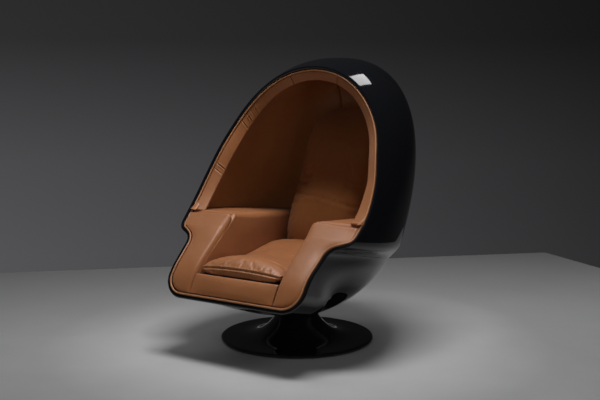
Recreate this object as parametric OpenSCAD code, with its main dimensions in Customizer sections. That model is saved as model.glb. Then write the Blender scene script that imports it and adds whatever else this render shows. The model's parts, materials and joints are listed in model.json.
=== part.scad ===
// Pod chair: a leaning egg-shaped shell with a lower bowl and a projecting jaw,
// padded inside and turning on a round trumpet pedestal. The sitter faces -Y.

/* [Shell] */
// Height of the crown above the floor
pod_height = 1286; // [1240:1:1330]
// Half of the greatest width of the egg
egg_half_width = 511; // [495:1:530]
// Half of the depth of the egg
egg_half_depth = 521; // [505:1:540]
// Height at which the egg is widest
egg_widest_z = 434; // [420:1:450]
// Middle of the egg, front to back, where it is widest
egg_base_y = -111; // [-122:1:-100]
// How far the crown lies behind that middle
egg_lean = 463; // [445:1:480]
// Thickness of the moulded wall
shell_wall = 10; // [8:0.5:12]

/* [Crease] */
// Height of the crease beside the notch of the opening
crease_z = 496; // [490:1:502]
// Place of the notch, front to back
notch_y = -290; // [-296:1:-284]
// Fall of the crease towards the back, in degrees
crease_tilt = 11; // [10:0.5:12]
// Rounding of the egg's lower edge above the crease
crease_edge_r = 58; // [52:1:64]
// Hollow fillet below the crease
crease_fillet_r = 50; // [44:1:56]

/* [Bowl and jaw] */
// Half of the width of the bowl
bowl_half_width = 425; // [415:1:435]
// Half of the depth of the bowl
bowl_half_depth = 464; // [454:1:474]
// Height of the bowl's widest level
bowl_wide_z = 421; // [412:1:430]
// Height of the lowest point of the bowl's own curve
bowl_low_z = 111; // [107:1:112]
// Height of the flat that the pedestal carries
shell_base_z = 132; // [132:1:136]
// Half of the width of the jaw
jaw_half_width = 360; // [352:1:368]
// Corner radius of the jaw
jaw_corner_r = 100; // [90:1:110]
// Height of the jaw's lower lip
jaw_lip_z = 254; // [248:1:260]
// Place of the jaw's lower lip
jaw_lip_y = -520; // [-530:1:-510]

/* [Opening] */
// Height of the top of the opening
opening_top_z = 1232; // [1215:1:1245]
// Depth of the opening's slope, from the lip to its top
opening_depth = 646; // [635:1:657]
// Radius of the piping round the opening
welt_r = 4; // [3:0.5:5]
// Gap between the piping and the leather
welt_gap = 2.6; // [2.2:0.1:3]
// Width of the facing bands
band_width = 42; // [36:1:48]
// Thickness of the facing bands
band_thickness = 14; // [10:1:18]

/* [Upholstery] */
// Thickness of the padded liner
liner_thickness = 22; // [18:1:26]
// Height of the arm tops at the front
arm_top_z = 586; // [578:1:592]
// Fall of the arm tops towards the back, in degrees
arm_fall = 4.5; // [3.5:0.5:5]
// Half of the seat width between the arms
seat_half_width = 216; // [206:1:224]
// Half of the width at the foot of the back cushion
back_half_width = 198; // [190:1:205]
// Thickness of the arm fronts and the apron, front to back
panel_thickness = 25; // [20:1:28]
// Top of the plywood deck
deck_top_z = 284; // [280:1:288]
// Thickness of the plywood deck
deck_thickness = 15; // [12:1:18]
// Height of the foam platform on the deck
platform_height = 68; // [60:1:74]
// Height of the seat cushion's side seam above the platform
cushion_seam_rise = 26; // [20:1:32]
// Height of the seat cushion's crown above its seam
cushion_crown = 57; // [50:1:64]
// Height of the back cushion's top edge
back_top_z = 1042; // [1030:1:1054]
// Gap between padded neighbours
pad_gap = 0.6; // [0.5:0.1:0.8]

/* [Pedestal] */
// Radius of the pedestal disc
disc_r = 350; // [330:1:370]
// Height of the disc's rounded edge
disc_edge_h = 18; // [16:1:22]
// Radius of the pedestal's neck
neck_r = 94; // [90:1:100]
// Thickness of the spun cover
cover_wall = 3; // [2:0.5:4]
// Thickness of the felt pad under the base plate
felt_h = 4; // [3:0.5:5]
// Radius of the swivel spindle
spindle_r = 22; // [18:1:25]
// Running clearance of the spindle in its bushes
spindle_fit = 0.05; // [0.02:0.01:0.08]
// Wall of the bushes
bush_wall = 5; // [4:0.5:6]
// Wall of the column tube
column_wall = 7; // [5:0.5:9]
// Thickness of the swivel plate
swivel_plate_h = 8; // [6:0.5:10]
// Radius of the shell bolts' shanks
bolt_r = 5; // [4:0.5:6]
// Radius of the circle of the shell bolts
bolt_circle_r = 56; // [52:1:58]

/* [Hidden] */
// One overrun for every cut
cut = 1;
// Power of the egg's upright and level curves, and the bend of its lean
egg_power_share = 2.33;
lean_bend_share = 0.219;
// Power of the bowl's upright curve
bowl_power_share = 1.62;
// The bowl's middle, the jaw's rising underside, and where the jaw fades into the bowl
bowl_y = -30;
jaw_rise_share = 0.312;
jaw_end_y = -219;
jaw_fade_r = 172;
jaw_blend_r = 84;
base_blend_r = 12;
// Factors that turn the egg's and the bowl's shares into lengths
egg_scale_share = 0.9;
bowl_scale_share = 0.85;
// The opening seen from the side: shares of its depth at equal steps up its height
opening_side_shares = [0, 0.118, 0.334, 0.536, 0.669, 0.769, 0.873, 0.944, 1];
// The shell's joint lies a little below the crease
joint_drop = 20;
joint_gap = 0.3;
// Moulded boss that the swivel plate and the load spreader are bolted to
boss_h = 19;
// Seats and clearances
bolt_fit = 0.4;
press_fit = 0.02;
welt_seat = 0.3;
liner_seat = 8;
back_fit = 5;
deck_fit = 3;
batten_fit = 4.2;
cover_fit = 0.3;
// Angles along the opening: the crown's seams, the gap at a seam, and a small step
crown_seam_angle = 12.4;
seam_gap = 0.15;
edge_probe = 0.5;
// Where the rows of a meridian lie closest, as a turn of its way down, and by how much
crown_turn = 140;
row_bias_share = 0.28;
// Roundness of the facing bands' inner edge
band_soft_r = 5;
// The liner's middle gore: its half as a share of the way from the crown to the arm
gore_share = 0.075;
// Arms: where they end at the deck and at the top, roundness, and distance from the shell
arm_foot_y = 150;
arm_back_y = 330;
arm_soft_r = 24;
arm_setback = 11;
arm_look = 20;
// Front panels: how far they lie behind the lip, and how far they swell
panel_sink = 1;
panel_crown = 5;
// Deck and battens
deck_back_y = 235;
deck_half_width = 298;
batten_front_y = -290;
batten_back_y = 120;
batten_h = 22;
batten_w = 30;
// Seat cushion: seam behind the front, drawn-in sides and corners
cushion_sink = 2;
cushion_waist = 5;
cushion_corner_share = 0.12;
// Rise of the seat's side seam towards the back, its arch at the front, and the crown above it
cushion_rear_rise = 42;
cushion_arch = 12;
cushion_seam_shares = [0, -0.05, -0.15, -0.2, -0.05, 0.25, 0.6, 0.9, 1];
cushion_crown_shares = [1, 1, 0.92, 0.82, 0.74, 0.64, 0.53, 0.42, 0.34];
// Squareness of the pads' faces, as powers across and along
seat_top_shares = [2.8, 8];
seat_base_shares = [12, 20];
back_face_shares = [6, 10];
back_rear_shares = [8, 12];
// Back: foot, how far its top stands off the liner, and its form from foot to top in equal steps
back_foot_y = 152;
back_stand = 61.4;
back_front_shares = [0, 0.04, 0.085, 0.18, 0.34, 0.42, 0.52, 0.69, 1];
back_block_max = 76;
back_block_shares = [0.5, 0.6, 0.8, 0.95, 1, 0.98, 0.85, 0.55, 0.1];
block_top_share = 0.9;
back_seam_share = 0.45;
back_corner_share = 0.4;
back_crown = 18;
back_turn_share = 0.35;
// Folds across the back cushion
fold_shares = [0.4, 0.5];
fold_depth = 7;
fold_half = 26;
// Pedestal: power of the flare, spread of its points, rim of the swivel plate, groove of the ring
flare_share = 3.9;
flare_steps = 22;
flare_bias_share = 1.3;
swivel_rim_share = 0.9;
groove_h = 2;
// Fineness of the grids
arch_steps = 26;
jaw_steps = 18;
upper_rows = 23;
lower_rows = 15;
halvings = 22;
liner_rows = 12;
gore_columns = 2;
roof_rows = 6;
deck_steps = 12;
arm_rows = 10;
arm_columns = 9;
panel_rows = 26;
panel_columns = 6;
cushion_columns = 24;
cushion_rows = 20;
back_columns = 22;
back_rows = 24;
block_rows = 12;

egg_rise = pod_height - egg_widest_z;
crease_slope = tan(crease_tilt);
core = [0, 0, crease_z + crease_edge_r];
opening_mid_z = crease_z + 2 * crease_edge_r;
leather_inset = shell_wall + 2 * welt_r + welt_gap;
probe = shell_wall / 10;

// Vectors
function unit(v) = v / norm(v);
function mix(a, b, t) = a + (b - a) * t;
function mirrored(p, side) = [side * p[0], p[1], p[2]];
function flat(lists) = [for (l = lists) for (e = l) e];
function slerp(a, b, t) =
    let (w = acos(min(1, max(-1, a * b))))
    w < 0.01 ? a : (sin((1 - t) * w) * a + sin(t * w) * b) / sin(w);

// A smooth curve through equally spaced shares
function curve_share(shares, t) =
    let (n = len(shares) - 1, x = t * n, i = min(n - 1, max(0, floor(x))), u = x - i,
         b = shares[i], c = shares[i + 1],
         a = i > 0 ? shares[i - 1] : 2 * b - c,
         d = i < n - 1 ? shares[i + 2] : 2 * c - b)
    b + u * ((c - a) + u * ((2 * a - 5 * b + 4 * c - d) + u * (3 * b - a - 3 * c + d))) / 2;

// The outer form of the shell: below zero inside, above zero outside
function soft_min(a, b, r) =
    let (h = min(1, max(0, 0.5 + 0.5 * (b - a) / r)))
    b * (1 - h) + a * h - r * h * (1 - h);
function soft_max(a, b, r) = -soft_min(-a, -b, r);
function egg_middle_y(z) =
    let (w = (z - egg_widest_z) / egg_rise)
    egg_base_y + egg_lean * w * (1 + lean_bend_share * (1 - w));
function egg_gap(p) =
    let (w = max(0, (p[2] - egg_widest_z) / egg_rise),
         r = norm([p[0] / egg_half_width, (p[1] - egg_middle_y(p[2])) / egg_half_depth]))
    (pow(pow(w, egg_power_share) + pow(r, egg_power_share), 1 / egg_power_share) - 1)
        * egg_half_width * egg_scale_share;
function bowl_gap(p) =
    let (w = max(0, (bowl_wide_z - p[2]) / (bowl_wide_z - bowl_low_z)),
         r = norm([p[0] / bowl_half_width, (p[1] - bowl_y) / bowl_half_depth]))
    (pow(pow(w, bowl_power_share) + pow(r, bowl_power_share), 1 / bowl_power_share) - 1)
        * bowl_half_width * bowl_scale_share;
function jaw_gap(p) =
    let (dx = abs(p[0]) - jaw_half_width,
         dz = (jaw_lip_z - jaw_rise_share * (p[1] - jaw_lip_y) - p[2]) / norm([1, jaw_rise_share]),
         box = min(max(dx, dz) + jaw_corner_r, 0)
             + norm([max(dx + jaw_corner_r, 0), max(dz + jaw_corner_r, 0)]) - jaw_corner_r)
    soft_max(box, p[1] - jaw_end_y, jaw_fade_r);
function above_crease(p) = p[2] + crease_slope * (p[1] - notch_y) - crease_z;
function pod_gap(p) =
    let (up = soft_max(egg_gap(p), -above_crease(p), crease_edge_r),
         low = max(soft_min(bowl_gap(p), jaw_gap(p), jaw_blend_r), above_crease(p) - crease_edge_r))
    soft_max(soft_min(up, low, crease_fillet_r), shell_base_z - p[2], base_blend_r);
function pod_normal(p) = unit([
    pod_gap(p + [probe, 0, 0]) - pod_gap(p - [probe, 0, 0]),
    pod_gap(p + [0, probe, 0]) - pod_gap(p - [0, probe, 0]),
    pod_gap(p + [0, 0, probe]) - pod_gap(p - [0, 0, probe])]);

// The point of the outer form on a ray from a point inside
function hit(from, dir, near, far, n) =
    let (m = (near + far) / 2)
    n == 0 ? from + dir * m
    : pod_gap(from + dir * m) < 0 ? hit(from, dir, m, far, n - 1)
    : hit(from, dir, near, m, n - 1);
function on_shell(dir) = hit(core, dir, 0, pod_height, halvings);

// The opening: a surface ruled straight across, seen from the side as one line
function opening_y(z) = jaw_lip_y + opening_depth
    * curve_share(opening_side_shares, (z - jaw_lip_z) / (opening_top_z - jaw_lip_z));
function opening_ray(angle, r) =
    let (z = opening_mid_z + r * cos(angle))
    [r * sin(angle), opening_y(z), z];
function opening_hit(angle, near, far, n) =
    let (m = (near + far) / 2)
    n == 0 ? opening_ray(angle, m)
    : pod_gap(opening_ray(angle, m)) < 0 ? opening_hit(angle, m, far, n - 1)
    : opening_hit(angle, near, m, n - 1);
function edge_point(angle) = opening_hit(angle, 0, pod_height, halvings);

// Where the edge of the opening meets a level that falls towards the back
function edge_meets(z, y, slope, low, high, n) =
    let (m = (low + high) / 2, p = edge_point(m))
    n == 0 ? m
    : p[2] + slope * (p[1] - y) > z ? edge_meets(z, y, slope, m, high, n - 1)
    : edge_meets(z, y, slope, low, m, n - 1);

// The shell's joint runs in its own plane, and the arms' top in another
joint_z = crease_z - joint_drop;
function level_hit(z, y, slope, dir, near, far, n) =
    let (m = (near + far) / 2, q = dir * m, p = [q[0], q[1], z - slope * (q[1] - y)])
    n == 0 ? p
    : pod_gap(p) < 0 ? level_hit(z, y, slope, dir, m, far, n - 1)
    : level_hit(z, y, slope, dir, near, m, n - 1);
function level_point(z, y, slope, angle) =
    level_hit(z, y, slope, [cos(angle), sin(angle)], 0, pod_height, halvings);

// Stations along a half of the opening, closer together towards the notch
function closing(t) = 1 - pow(1 - t, 1.5);
function opening_pairs(first, last, z, y, slope, steps) =
    let (end = edge_point(last), turn = atan2(end[1], end[0]))
    [for (i = [0 : steps]) let (t = closing(i / steps))
        [edge_point(mix(first, last, t)),
         i == steps ? end : level_point(z, y, slope, mix(90, turn, t))]];

// Rows of points on the outer form between two lines, closer together round the crown
function row_share(t) = t - row_bias_share * (sin(360 * t - crown_turn) + sin(crown_turn)) / (2 * PI);
function meridian(a, b, rows) =
    let (da = unit(a - core), db = unit(b - core))
    [for (j = [0 : rows]) on_shell(slerp(da, db, row_share(j / rows)))];
function inset_point(p, depth) = p - depth * pod_normal(p);

// Both halves of a list of columns, from the left end to the right end
function both_halves(columns) =
    let (n = len(columns) - 1)
    concat([for (i = [n : -1 : 1]) [for (p = columns[i]) mirrored(p, -1)]], columns);

// Two grids of points joined round their borders into one closed solid.
// A column that shrinks to a point has one corner, and a pillow's two faces share their border.
module skin(near, far, pillow = false) {
    nc = len(near);
    nr = len(near[0]);
    thin = [for (c = near) norm(c[0] - c[nr - 1]) < probe];
    function border(i, j) = i == 0 || i == nc - 1 || j == 0 || j == nr - 1;
    function at(layer, i, j) = (pillow && border(i, j) ? 0 : layer * nc * nr) + i * nr + (thin[i] ? 0 : j);
    function quad(a, b, c, d) = [[a, b, c], [a, c, d]];
    // Corner cells are cut the other way, so that no triangle has all its corners on the border
    function turned(i, j) = (i == 0 || i == nc - 2) && (j == 0 || j == nr - 2) && (i == 0) != (j == 0);
    faces = flat([
        for (i = [0 : nc - 2]) for (j = [0 : nr - 2]) [for (layer = [0, 1])
            let (a = at(layer, i, j), b = at(layer, i + 1, j),
                 c = at(layer, i + 1, j + 1), d = at(layer, i, j + 1),
                 pair = turned(i, j) ? quad(b, c, d, a) : quad(a, b, c, d))
            each [for (f = pair) layer == 0 ? f : [f[0], f[2], f[1]]]],
        if (!pillow) for (i = [0 : nc - 2]) concat(
            quad(at(0, i, 0), at(1, i, 0), at(1, i + 1, 0), at(0, i + 1, 0)),
            quad(at(0, i, nr - 1), at(0, i + 1, nr - 1), at(1, i + 1, nr - 1), at(1, i, nr - 1))),
        if (!pillow) for (j = [0 : nr - 2]) concat(
            quad(at(0, 0, j), at(0, 0, j + 1), at(1, 0, j + 1), at(1, 0, j)),
            quad(at(0, nc - 1, j), at(1, nc - 1, j), at(1, nc - 1, j + 1), at(0, nc - 1, j + 1)))]);
    solid_of(concat(flat(near), flat(far)), faces);
}

// A tube through rings of points
module tube(rings, closed = false) {
    n = len(rings);
    k = len(rings[0]);
    function at(i, j) = (i % n) * k + j % k;
    sides = [for (i = [0 : closed ? n - 1 : n - 2]) for (j = [0 : k - 1]) each [
        [at(i, j), at(i + 1, j), at(i + 1, j + 1)], [at(i, j), at(i + 1, j + 1), at(i, j + 1)]]];
    ends = closed ? [] : [for (j = [1 : k - 2]) each [
        [at(0, 0), at(0, j), at(0, j + 1)], [at(n - 1, 0), at(n - 1, j + 1), at(n - 1, j)]]];
    solid_of(flat(rings), concat(sides, ends));
}

module solid_of(points, faces) {
    polyhedron(points, [for (f = faces) if (f[0] != f[1] && f[1] != f[2] && f[2] != f[0]) f],
               convexity = 10);
}

module pair_of() {
    children();
    mirror([1, 0, 0]) children();
}

// Shell

joint_angle = edge_meets(joint_z, notch_y, crease_slope, 0, 180, halvings);

function moulding(first, steps, rows, z) =
    both_halves([for (p = opening_pairs(first, joint_angle, z, notch_y, crease_slope, steps))
        meridian(p[0], p[1], rows)]);
function inset_grid(grid, depth) = [for (c = grid) [for (p = c) inset_point(p, depth)]];

module upper_shell() {
    outer = moulding(0, arch_steps, upper_rows, joint_z + joint_gap);
    color("#101012") skin(inset_grid(outer, shell_wall), outer);
}

module lower_shell() {
    outer = moulding(180, jaw_steps, lower_rows, joint_z);
    color("#101012") difference() {
        union() {
            skin(outer, inset_grid(outer, shell_wall));
            translate([0, 0, shell_base_z]) cylinder(h = boss_h, r = plate_r, $fn = 96);
        }
        at_circle(bolt_circle_r)
            cylinder(h = shell_base_z + 2 * boss_h, r = bolt_r + bolt_fit, $fn = 24);
    }
}

// Edge of the opening: a frame at each station, and what runs along it

function edge_frame(angle) =
    let (p = edge_point(angle), n = pod_normal(p),
         t = unit(edge_point(angle + edge_probe) - edge_point(angle - edge_probe)))
    [p, n, unit(cross(t, n))];
function edge_place(f, inset, back) = f[0] - inset * f[1] - back * f[2];
function edge_ring(f, outline) = [for (q = outline) edge_place(f, q[0], q[1])];
function spread(first, last, steps, bias) =
    [for (i = [0 : steps]) mix(first, last, bias ? closing(i / steps) : i / steps)];

module welt() {
    outline = [for (a = [0 : 45 : 315])
        [shell_wall + welt_r + welt_seat + welt_r * cos(a), welt_r * sin(a)]];
    half = concat(spread(0, joint_angle, arch_steps, true),
                  [for (i = [jaw_steps - 1 : -1 : 0]) mix(180, joint_angle, closing(i / jaw_steps))]);
    angles = concat(half, [for (i = [len(half) - 2 : -1 : 1]) -half[i]]);
    color("#c08a5c") tube([for (a = angles) edge_ring(edge_frame(a), outline)], closed = true);
}

// A facing band is a padded strip with a rounded inner edge
band_outline = [
    [0, band_soft_r], [band_soft_r / 2, 0], [band_width / 2, -band_soft_r / 2],
    [band_width - band_soft_r, 0], [band_width, band_soft_r],
    [band_width, band_thickness], [0, band_thickness]];
band_line = [for (q = band_outline) q + [leather_inset, 0]];

module band(rings) {
    color("#b37a52") tube(rings);
}
function band_rings(first, last, steps) =
    [for (a = spread(first, last, steps, false)) edge_ring(edge_frame(a), band_line)];

arm_slope = tan(arm_fall);
arm_front_y = opening_y(arm_top_z);
arm_angle = edge_meets(arm_top_z, arm_front_y, arm_slope, 0, 180, halvings);
function arm_top(y) = arm_top_z - arm_slope * (y - arm_front_y);

module band_top() {
    band(band_rings(-crown_seam_angle, crown_seam_angle, 8));
}
// The last ring of a side band slides along the edge to the level of the arm tops
module band_right() {
    rings = band_rings(crown_seam_angle + seam_gap, arm_angle - seam_gap, 22);
    last = rings[len(rings) - 1];
    along = unit(last[0] - rings[len(rings) - 2][0]);
    band([for (i = [0 : len(rings) - 1]) i < len(rings) - 1 ? rings[i]
        : [for (p = last) p + along * (arm_top(p[1]) + pad_gap - p[2])
            / (along[2] + arm_slope * along[1])]]);
}
module band_left() {
    mirror([1, 0, 0]) band_right();
}

// Padded liner: meridians from behind the bands to the level of the arm tops

liner_angle = edge_meets(arm_top_z + 2 * band_width, arm_front_y, arm_slope, 0, 180, halvings);
band_back = band_thickness + 4 * pad_gap;
liner_turn = let (f = edge_frame(arm_angle), p = f[0] - [0, band_back / f[2][1], 0])
    atan2(p[1], p[0]);

function liner_column(t, rows) =
    let (a = on_shell(unit(edge_place(edge_frame(mix(0, liner_angle, t)), 0, band_back) - core)),
         b = level_point(arm_top_z + pad_gap, arm_front_y, arm_slope, mix(90, liner_turn, t)))
    meridian(a, b, rows);

function liner_station(i) = i <= gore_columns ? gore_share * i / gore_columns
    : mix(gore_share, 1, closing((i - gore_columns) / (arch_steps - gore_columns)));
// A liner's face at a depth below the outer form, its foot slid along the face to the arms' level
function slid_down(p, n) =
    let (out = [n[0], n[1]], d = concat(-n[2] / (out * out) * out, [1]))
    p + d * (arm_top(p[1]) + pad_gap - p[2]) / (1 + arm_slope * d[1]);
function liner_face(first, last, top, bottom, depth) =
    [for (i = [first : last]) let (c = liner_column(liner_station(i), liner_rows))
        [for (j = [top : bottom]) let (p = inset_point(c[j], depth))
            j == liner_rows ? slid_down(p, pod_normal(c[j])) : p]];
module liner(first, last, top, bottom, both) {
    outer = liner_face(first, last, top, bottom, shell_wall + liner_seat);
    inner = liner_face(first, last, top, bottom, shell_wall + liner_seat + liner_thickness);
    color("#8d5a3a") skin(both ? both_halves(inner) : inner, both ? both_halves(outer) : outer);
}
module side_liner_right() {
    liner(gore_columns, arch_steps, 0, liner_rows, false);
}
module side_liner_left() {
    mirror([1, 0, 0]) side_liner_right();
}
module roof_liner() {
    liner(0, gore_columns, 0, roof_rows, true);
}
module back_liner() {
    liner(0, gore_columns, roof_rows, liner_rows, true);
}

// Arms

// The inner face of an arm draws in towards the back
function arm_inner(y) = seat_half_width
    - (seat_half_width - back_half_width)
        * min(1, max(0, (y - arm_front_y) / (back_foot_y - arm_front_y)));
function side_hit(y, z, near, far, n) =
    let (m = (near + far) / 2)
    n == 0 ? m
    : pod_gap([m, y, z]) < 0 ? side_hit(y, z, m, far, n - 1)
    : side_hit(y, z, near, m, n - 1);
// The hidden outer side keeps clear of the shell above and below it
function arm_outer(y, z) = min([for (d = [-1 : 0.5 : 1])
    side_hit(y, z + d * arm_look, 0, pod_height, halvings)]) - shell_wall - arm_setback;
function panel_y(z) = opening_y(z) + panel_sink;
function panel_back(z) = panel_y(z) + panel_thickness + 2 * pad_gap;

module arm_right() {
    low = deck_top_z + pad_gap / 2;
    // Levels up the arm, the last of them turning over its rounded inner edge
    levels = concat([for (j = [0 : arm_rows]) [j / arm_rows, 0]], [for (turn = [30, 60, 90]) [1, turn]]);
    spots = [for (i = [0 : arm_columns]) [for (l = levels)
        let (y = mix(panel_back(mix(low, arm_top_z, l[0])), mix(arm_foot_y, arm_back_y, l[0]),
                     i / arm_columns),
             z = mix(low, arm_top(y) - arm_soft_r, l[0]) + arm_soft_r * sin(l[1]))
        [y, z, l[1]]]];
    inner = [for (c = spots) [for (s = c) [arm_inner(s[0]) + arm_soft_r * (1 - cos(s[2])), s[0], s[1]]]];
    outer = [for (c = spots) [for (s = c) [arm_outer(s[0], s[1]), s[0], s[1]]]];
    color("#b37a52") skin(inner, outer);
}
module arm_left() {
    mirror([1, 0, 0]) arm_right();
}

// Front panels follow the opening and lie in its ruled surface
panel_end = edge_meets_side(seat_half_width + jaw_corner_r / 2, 90, 180, halvings);
function edge_meets_side(x, low, high, n) =
    let (m = (low + high) / 2)
    n == 0 ? m
    : edge_point(m)[0] > x ? edge_meets_side(x, m, high, n - 1)
    : edge_meets_side(x, low, m, n - 1);
function inner_edge(angle) =
    let (p = edge_point(angle), q = inset_point(p, leather_inset + pad_gap))
    [q[0], panel_y(q[2]), q[2]];
function on_opening(x, z) = [x, panel_y(z), z];
// The panel's top corner is rounded like the arm behind it
function corner_drop(d) =
    arm_soft_r - sqrt(max(0, pow(arm_soft_r, 2) - pow(max(0, arm_soft_r - d), 2)));

module arm_front_right() {
    top = inner_edge(arm_angle + seam_gap);
    foot = inner_edge(panel_end);
    front = [for (i = [0 : panel_rows])
        let (q = inner_edge(mix(arm_angle + seam_gap, panel_end, i / panel_rows)),
             s = (top[2] - q[2]) / (top[2] - foot[2]),
             z = mix(arm_top_z - pad_gap, foot[2], s))
        [for (j = [0 : panel_columns])
            let (t = pow(j / panel_columns, 2), x = mix(seat_half_width, q[0], t))
            on_opening(x, mix(z, q[2], t) - (1 - s) * corner_drop(x - seat_half_width))
                - [0, panel_crown * (1 - pow(2 * t - 1, 4)) * (1 - pow(2 * s - 1, 8)), 0]]];
    back = [for (r = front) [for (p = r) [p[0], panel_y(p[2]) + panel_thickness, p[2]]]];
    color("#b37a52") skin(back, front);
}
module arm_front_left() {
    mirror([1, 0, 0]) arm_front_right();
}

platform_top = deck_top_z + platform_height;
module apron() {
    foot = inset_point(edge_point(180), leather_inset)[2];
    top = platform_top - pad_gap;
    half = seat_half_width - pad_gap;
    front = [for (i = [0 : 8]) let (u = i / 4 - 1) [for (j = [0 : 5]) let (v = j / 5)
        on_opening(half * u, mix(foot, top, v))
            - [0, panel_crown * (1 - pow(u, 4)) * (1 - pow(2 * v - 1, 4)), 0]]];
    back = [for (c = front) [for (p = c) [p[0], panel_y(p[2]) + panel_thickness, p[2]]]];
    color("#b37a52") skin(back, front);
}

// Seat

module seat_deck() {
    low = deck_top_z - deck_thickness;
    front = panel_back(deck_top_z) + pad_gap;
    right = [for (i = [0 : deck_steps]) let (y = mix(front, deck_back_y, i / deck_steps))
        [min(wall_inside(y, low, deck_fit), deck_half_width), y]];
    left = [for (i = [deck_steps : -1 : 0]) mirrored_flat(right[i])];
    color("#c9a36b") translate([0, 0, low])
        linear_extrude(height = deck_thickness) polygon(concat(right, left));
}
function mirrored_flat(p) = [-p[0], p[1]];
// The inside of the shell, straight across from a place
function wall_inside(y, z, fit) =
    let (x = side_hit(y, z, 0, pod_height, halvings))
    x - (shell_wall + fit) / pod_normal([x, y, z])[0];

// Battens bonded to the bowl carry the deck
module deck_battens() {
    high = deck_top_z - deck_thickness - pad_gap / 2;
    low = high - batten_h;
    spots = [for (i = [0 : deck_steps]) mix(batten_front_y, batten_back_y, i / deck_steps)];
    outer = [for (y = spots) [for (z = [low, high]) [wall_inside(y, z, batten_fit), y, z]]];
    inner = [for (y = spots) [for (z = [low, high]) [wall_inside(y, low, batten_fit) - batten_w, y, z]]];
    color("#c9a36b") pair_of() skin(inner, outer);
}

module seat_platform() {
    low = deck_top_z;
    rows = [for (i = [0 : 8]) i / 8];
    front_y = panel_back(low) + pad_gap;
    outline = [for (u = rows) let (y = mix(front_y, back_foot_y, u)) [arm_inner(y) - 2 * pad_gap, y]];
    color("#d8cbb0") translate([0, 0, low + pad_gap / 2]) intersection() {
        linear_extrude(height = platform_height - pad_gap) polygon(concat(outline,
            [for (i = [8 : -1 : 0]) mirrored_flat(outline[i])]));
        rotate([90, 0, 90]) translate([0, 0, -seat_half_width])
            linear_extrude(height = 2 * seat_half_width) polygon([
                [panel_back(low), 0], [back_foot_y, 0], [back_foot_y, platform_height],
                [panel_back(low + platform_height), platform_height]]);
    }
}

// A pad whose corners draw in: both shares run from -1 to 1
function pad_x(a, b, corner) = a * sqrt(1 - corner * pow(b, 6) / 2);
function crown_share(a, b, powers) =
    sqrt(max(0, (1 - pow(abs(a), powers[0])) * (1 - pow(abs(b), powers[1]))));
// Pad stations stand closer together towards the borders
function pad_station(i, n) = sin(90 * (2 * i / n - 1));

module seat_cushion() {
    foot_z = platform_top + pad_gap / 2;
    front_y = panel_y(platform_top + cushion_seam_rise) + cushion_sink;
    rear_y = back_foot_y - pad_gap;
    mid_y = (front_y + rear_y) / 2;
    half_y = (rear_y - front_y) / 2;
    // The seam arches at the front and rises towards the back
    function seam_z(a, b) = platform_top + cushion_seam_rise
        + cushion_rear_rise * curve_share(cushion_seam_shares, (b + 1) / 2)
        + cushion_arch * (1 - a * a) * pow(max(0, -b), 4);
    spots = [for (i = [0 : cushion_columns]) [for (j = [0 : cushion_rows])
        let (a = pad_station(i, cushion_columns), b = pad_station(j, cushion_rows),
             y = mid_y + half_y * pad_x(b, a, cushion_corner_share))
        [pad_x(a, b, cushion_corner_share) * (arm_inner(y) - 2 * pad_gap
            - cushion_waist * (1 - b * b) * pow(a, 8)), y, a, b, seam_z(a, b)]]];
    top = [for (c = spots) [for (s = c) [s[0], s[1], s[4]
        + cushion_crown * curve_share(cushion_crown_shares, (s[3] + 1) / 2)
            * crown_share(s[2], s[3], seat_top_shares)]]];
    bottom = [for (c = spots) [for (s = c)
        [s[0], s[1], mix(s[4], foot_z, crown_share(s[2], s[3], seat_base_shares))]]];
    color("#b37a52") skin(bottom, top, pillow = true);
}

// Back

function back_hit(x, z, near, far, n) =
    let (m = (near + far) / 2)
    n == 0 ? m
    : pod_gap([x, m, z]) < 0 ? back_hit(x, z, m, far, n - 1)
    : back_hit(x, z, near, m, n - 1);
// The inside of the liner behind the sitter, straight back from a place
function liner_back(x, z) =
    let (y = back_hit(x, z, 0, pod_height, halvings), n = pod_normal([x, y, z]))
    y - (shell_wall + liner_seat + liner_thickness + back_fit) / max(n[1], back_turn_share);

back_low_z = platform_top;
function back_level(z) = (z - back_low_z) / (back_top_z - back_low_z);
function back_block_depth(z) = back_block_max * max(0, curve_share(back_block_shares, back_level(z)));
function back_rear(x, z) = liner_back(x, z) - back_block_depth(z);
back_reach = liner_back(0, back_top_z) - back_stand - back_foot_y;
function back_front(z) = back_foot_y + back_reach * curve_share(back_front_shares, back_level(z));

module back_cushion() {
    function seam_y(z) = mix(back_front(z), back_rear(back_half_width, z), back_seam_share);
    spots = [for (i = [0 : back_columns]) [for (j = [0 : back_rows])
        let (a = pad_station(i, back_columns), b = pad_station(j, back_rows),
             x = a * (back_half_width - pad_gap) * sqrt(1 - (b > 0 ? back_corner_share : cushion_corner_share)
                 * pow(b, 6) / 2),
             z = mix(back_low_z + pad_gap / 2, back_top_z,
                     (1 + b * sqrt(1 - (b > 0 ? back_corner_share : 0) * pow(a, 6) / 2)) / 2))
        [x, z, a, b]]];
    front = [for (c = spots) [for (s = c) let (k = crown_share(s[2], s[3], back_face_shares))
        [s[0], mix(seam_y(s[1]), back_front(s[1]) - back_crown * k, k)
            + fold_depth * back_fold(s[1]) * k, s[1]]]];
    rear = [for (c = spots) [for (s = c) let (k = crown_share(s[2], s[3], back_rear_shares))
        [s[0], mix(seam_y(s[1]), back_rear(s[0], s[1]) - pad_gap, k), s[1]]]];
    color("#b37a52") skin(rear, front, pillow = true);
}
// Two soft folds cross the back cushion
function back_fold(z) = max([for (f = fold_shares)
    let (d = (back_level(z) - f) * (back_top_z - back_low_z) / fold_half) max(0, 1 - d * d)]);

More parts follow.
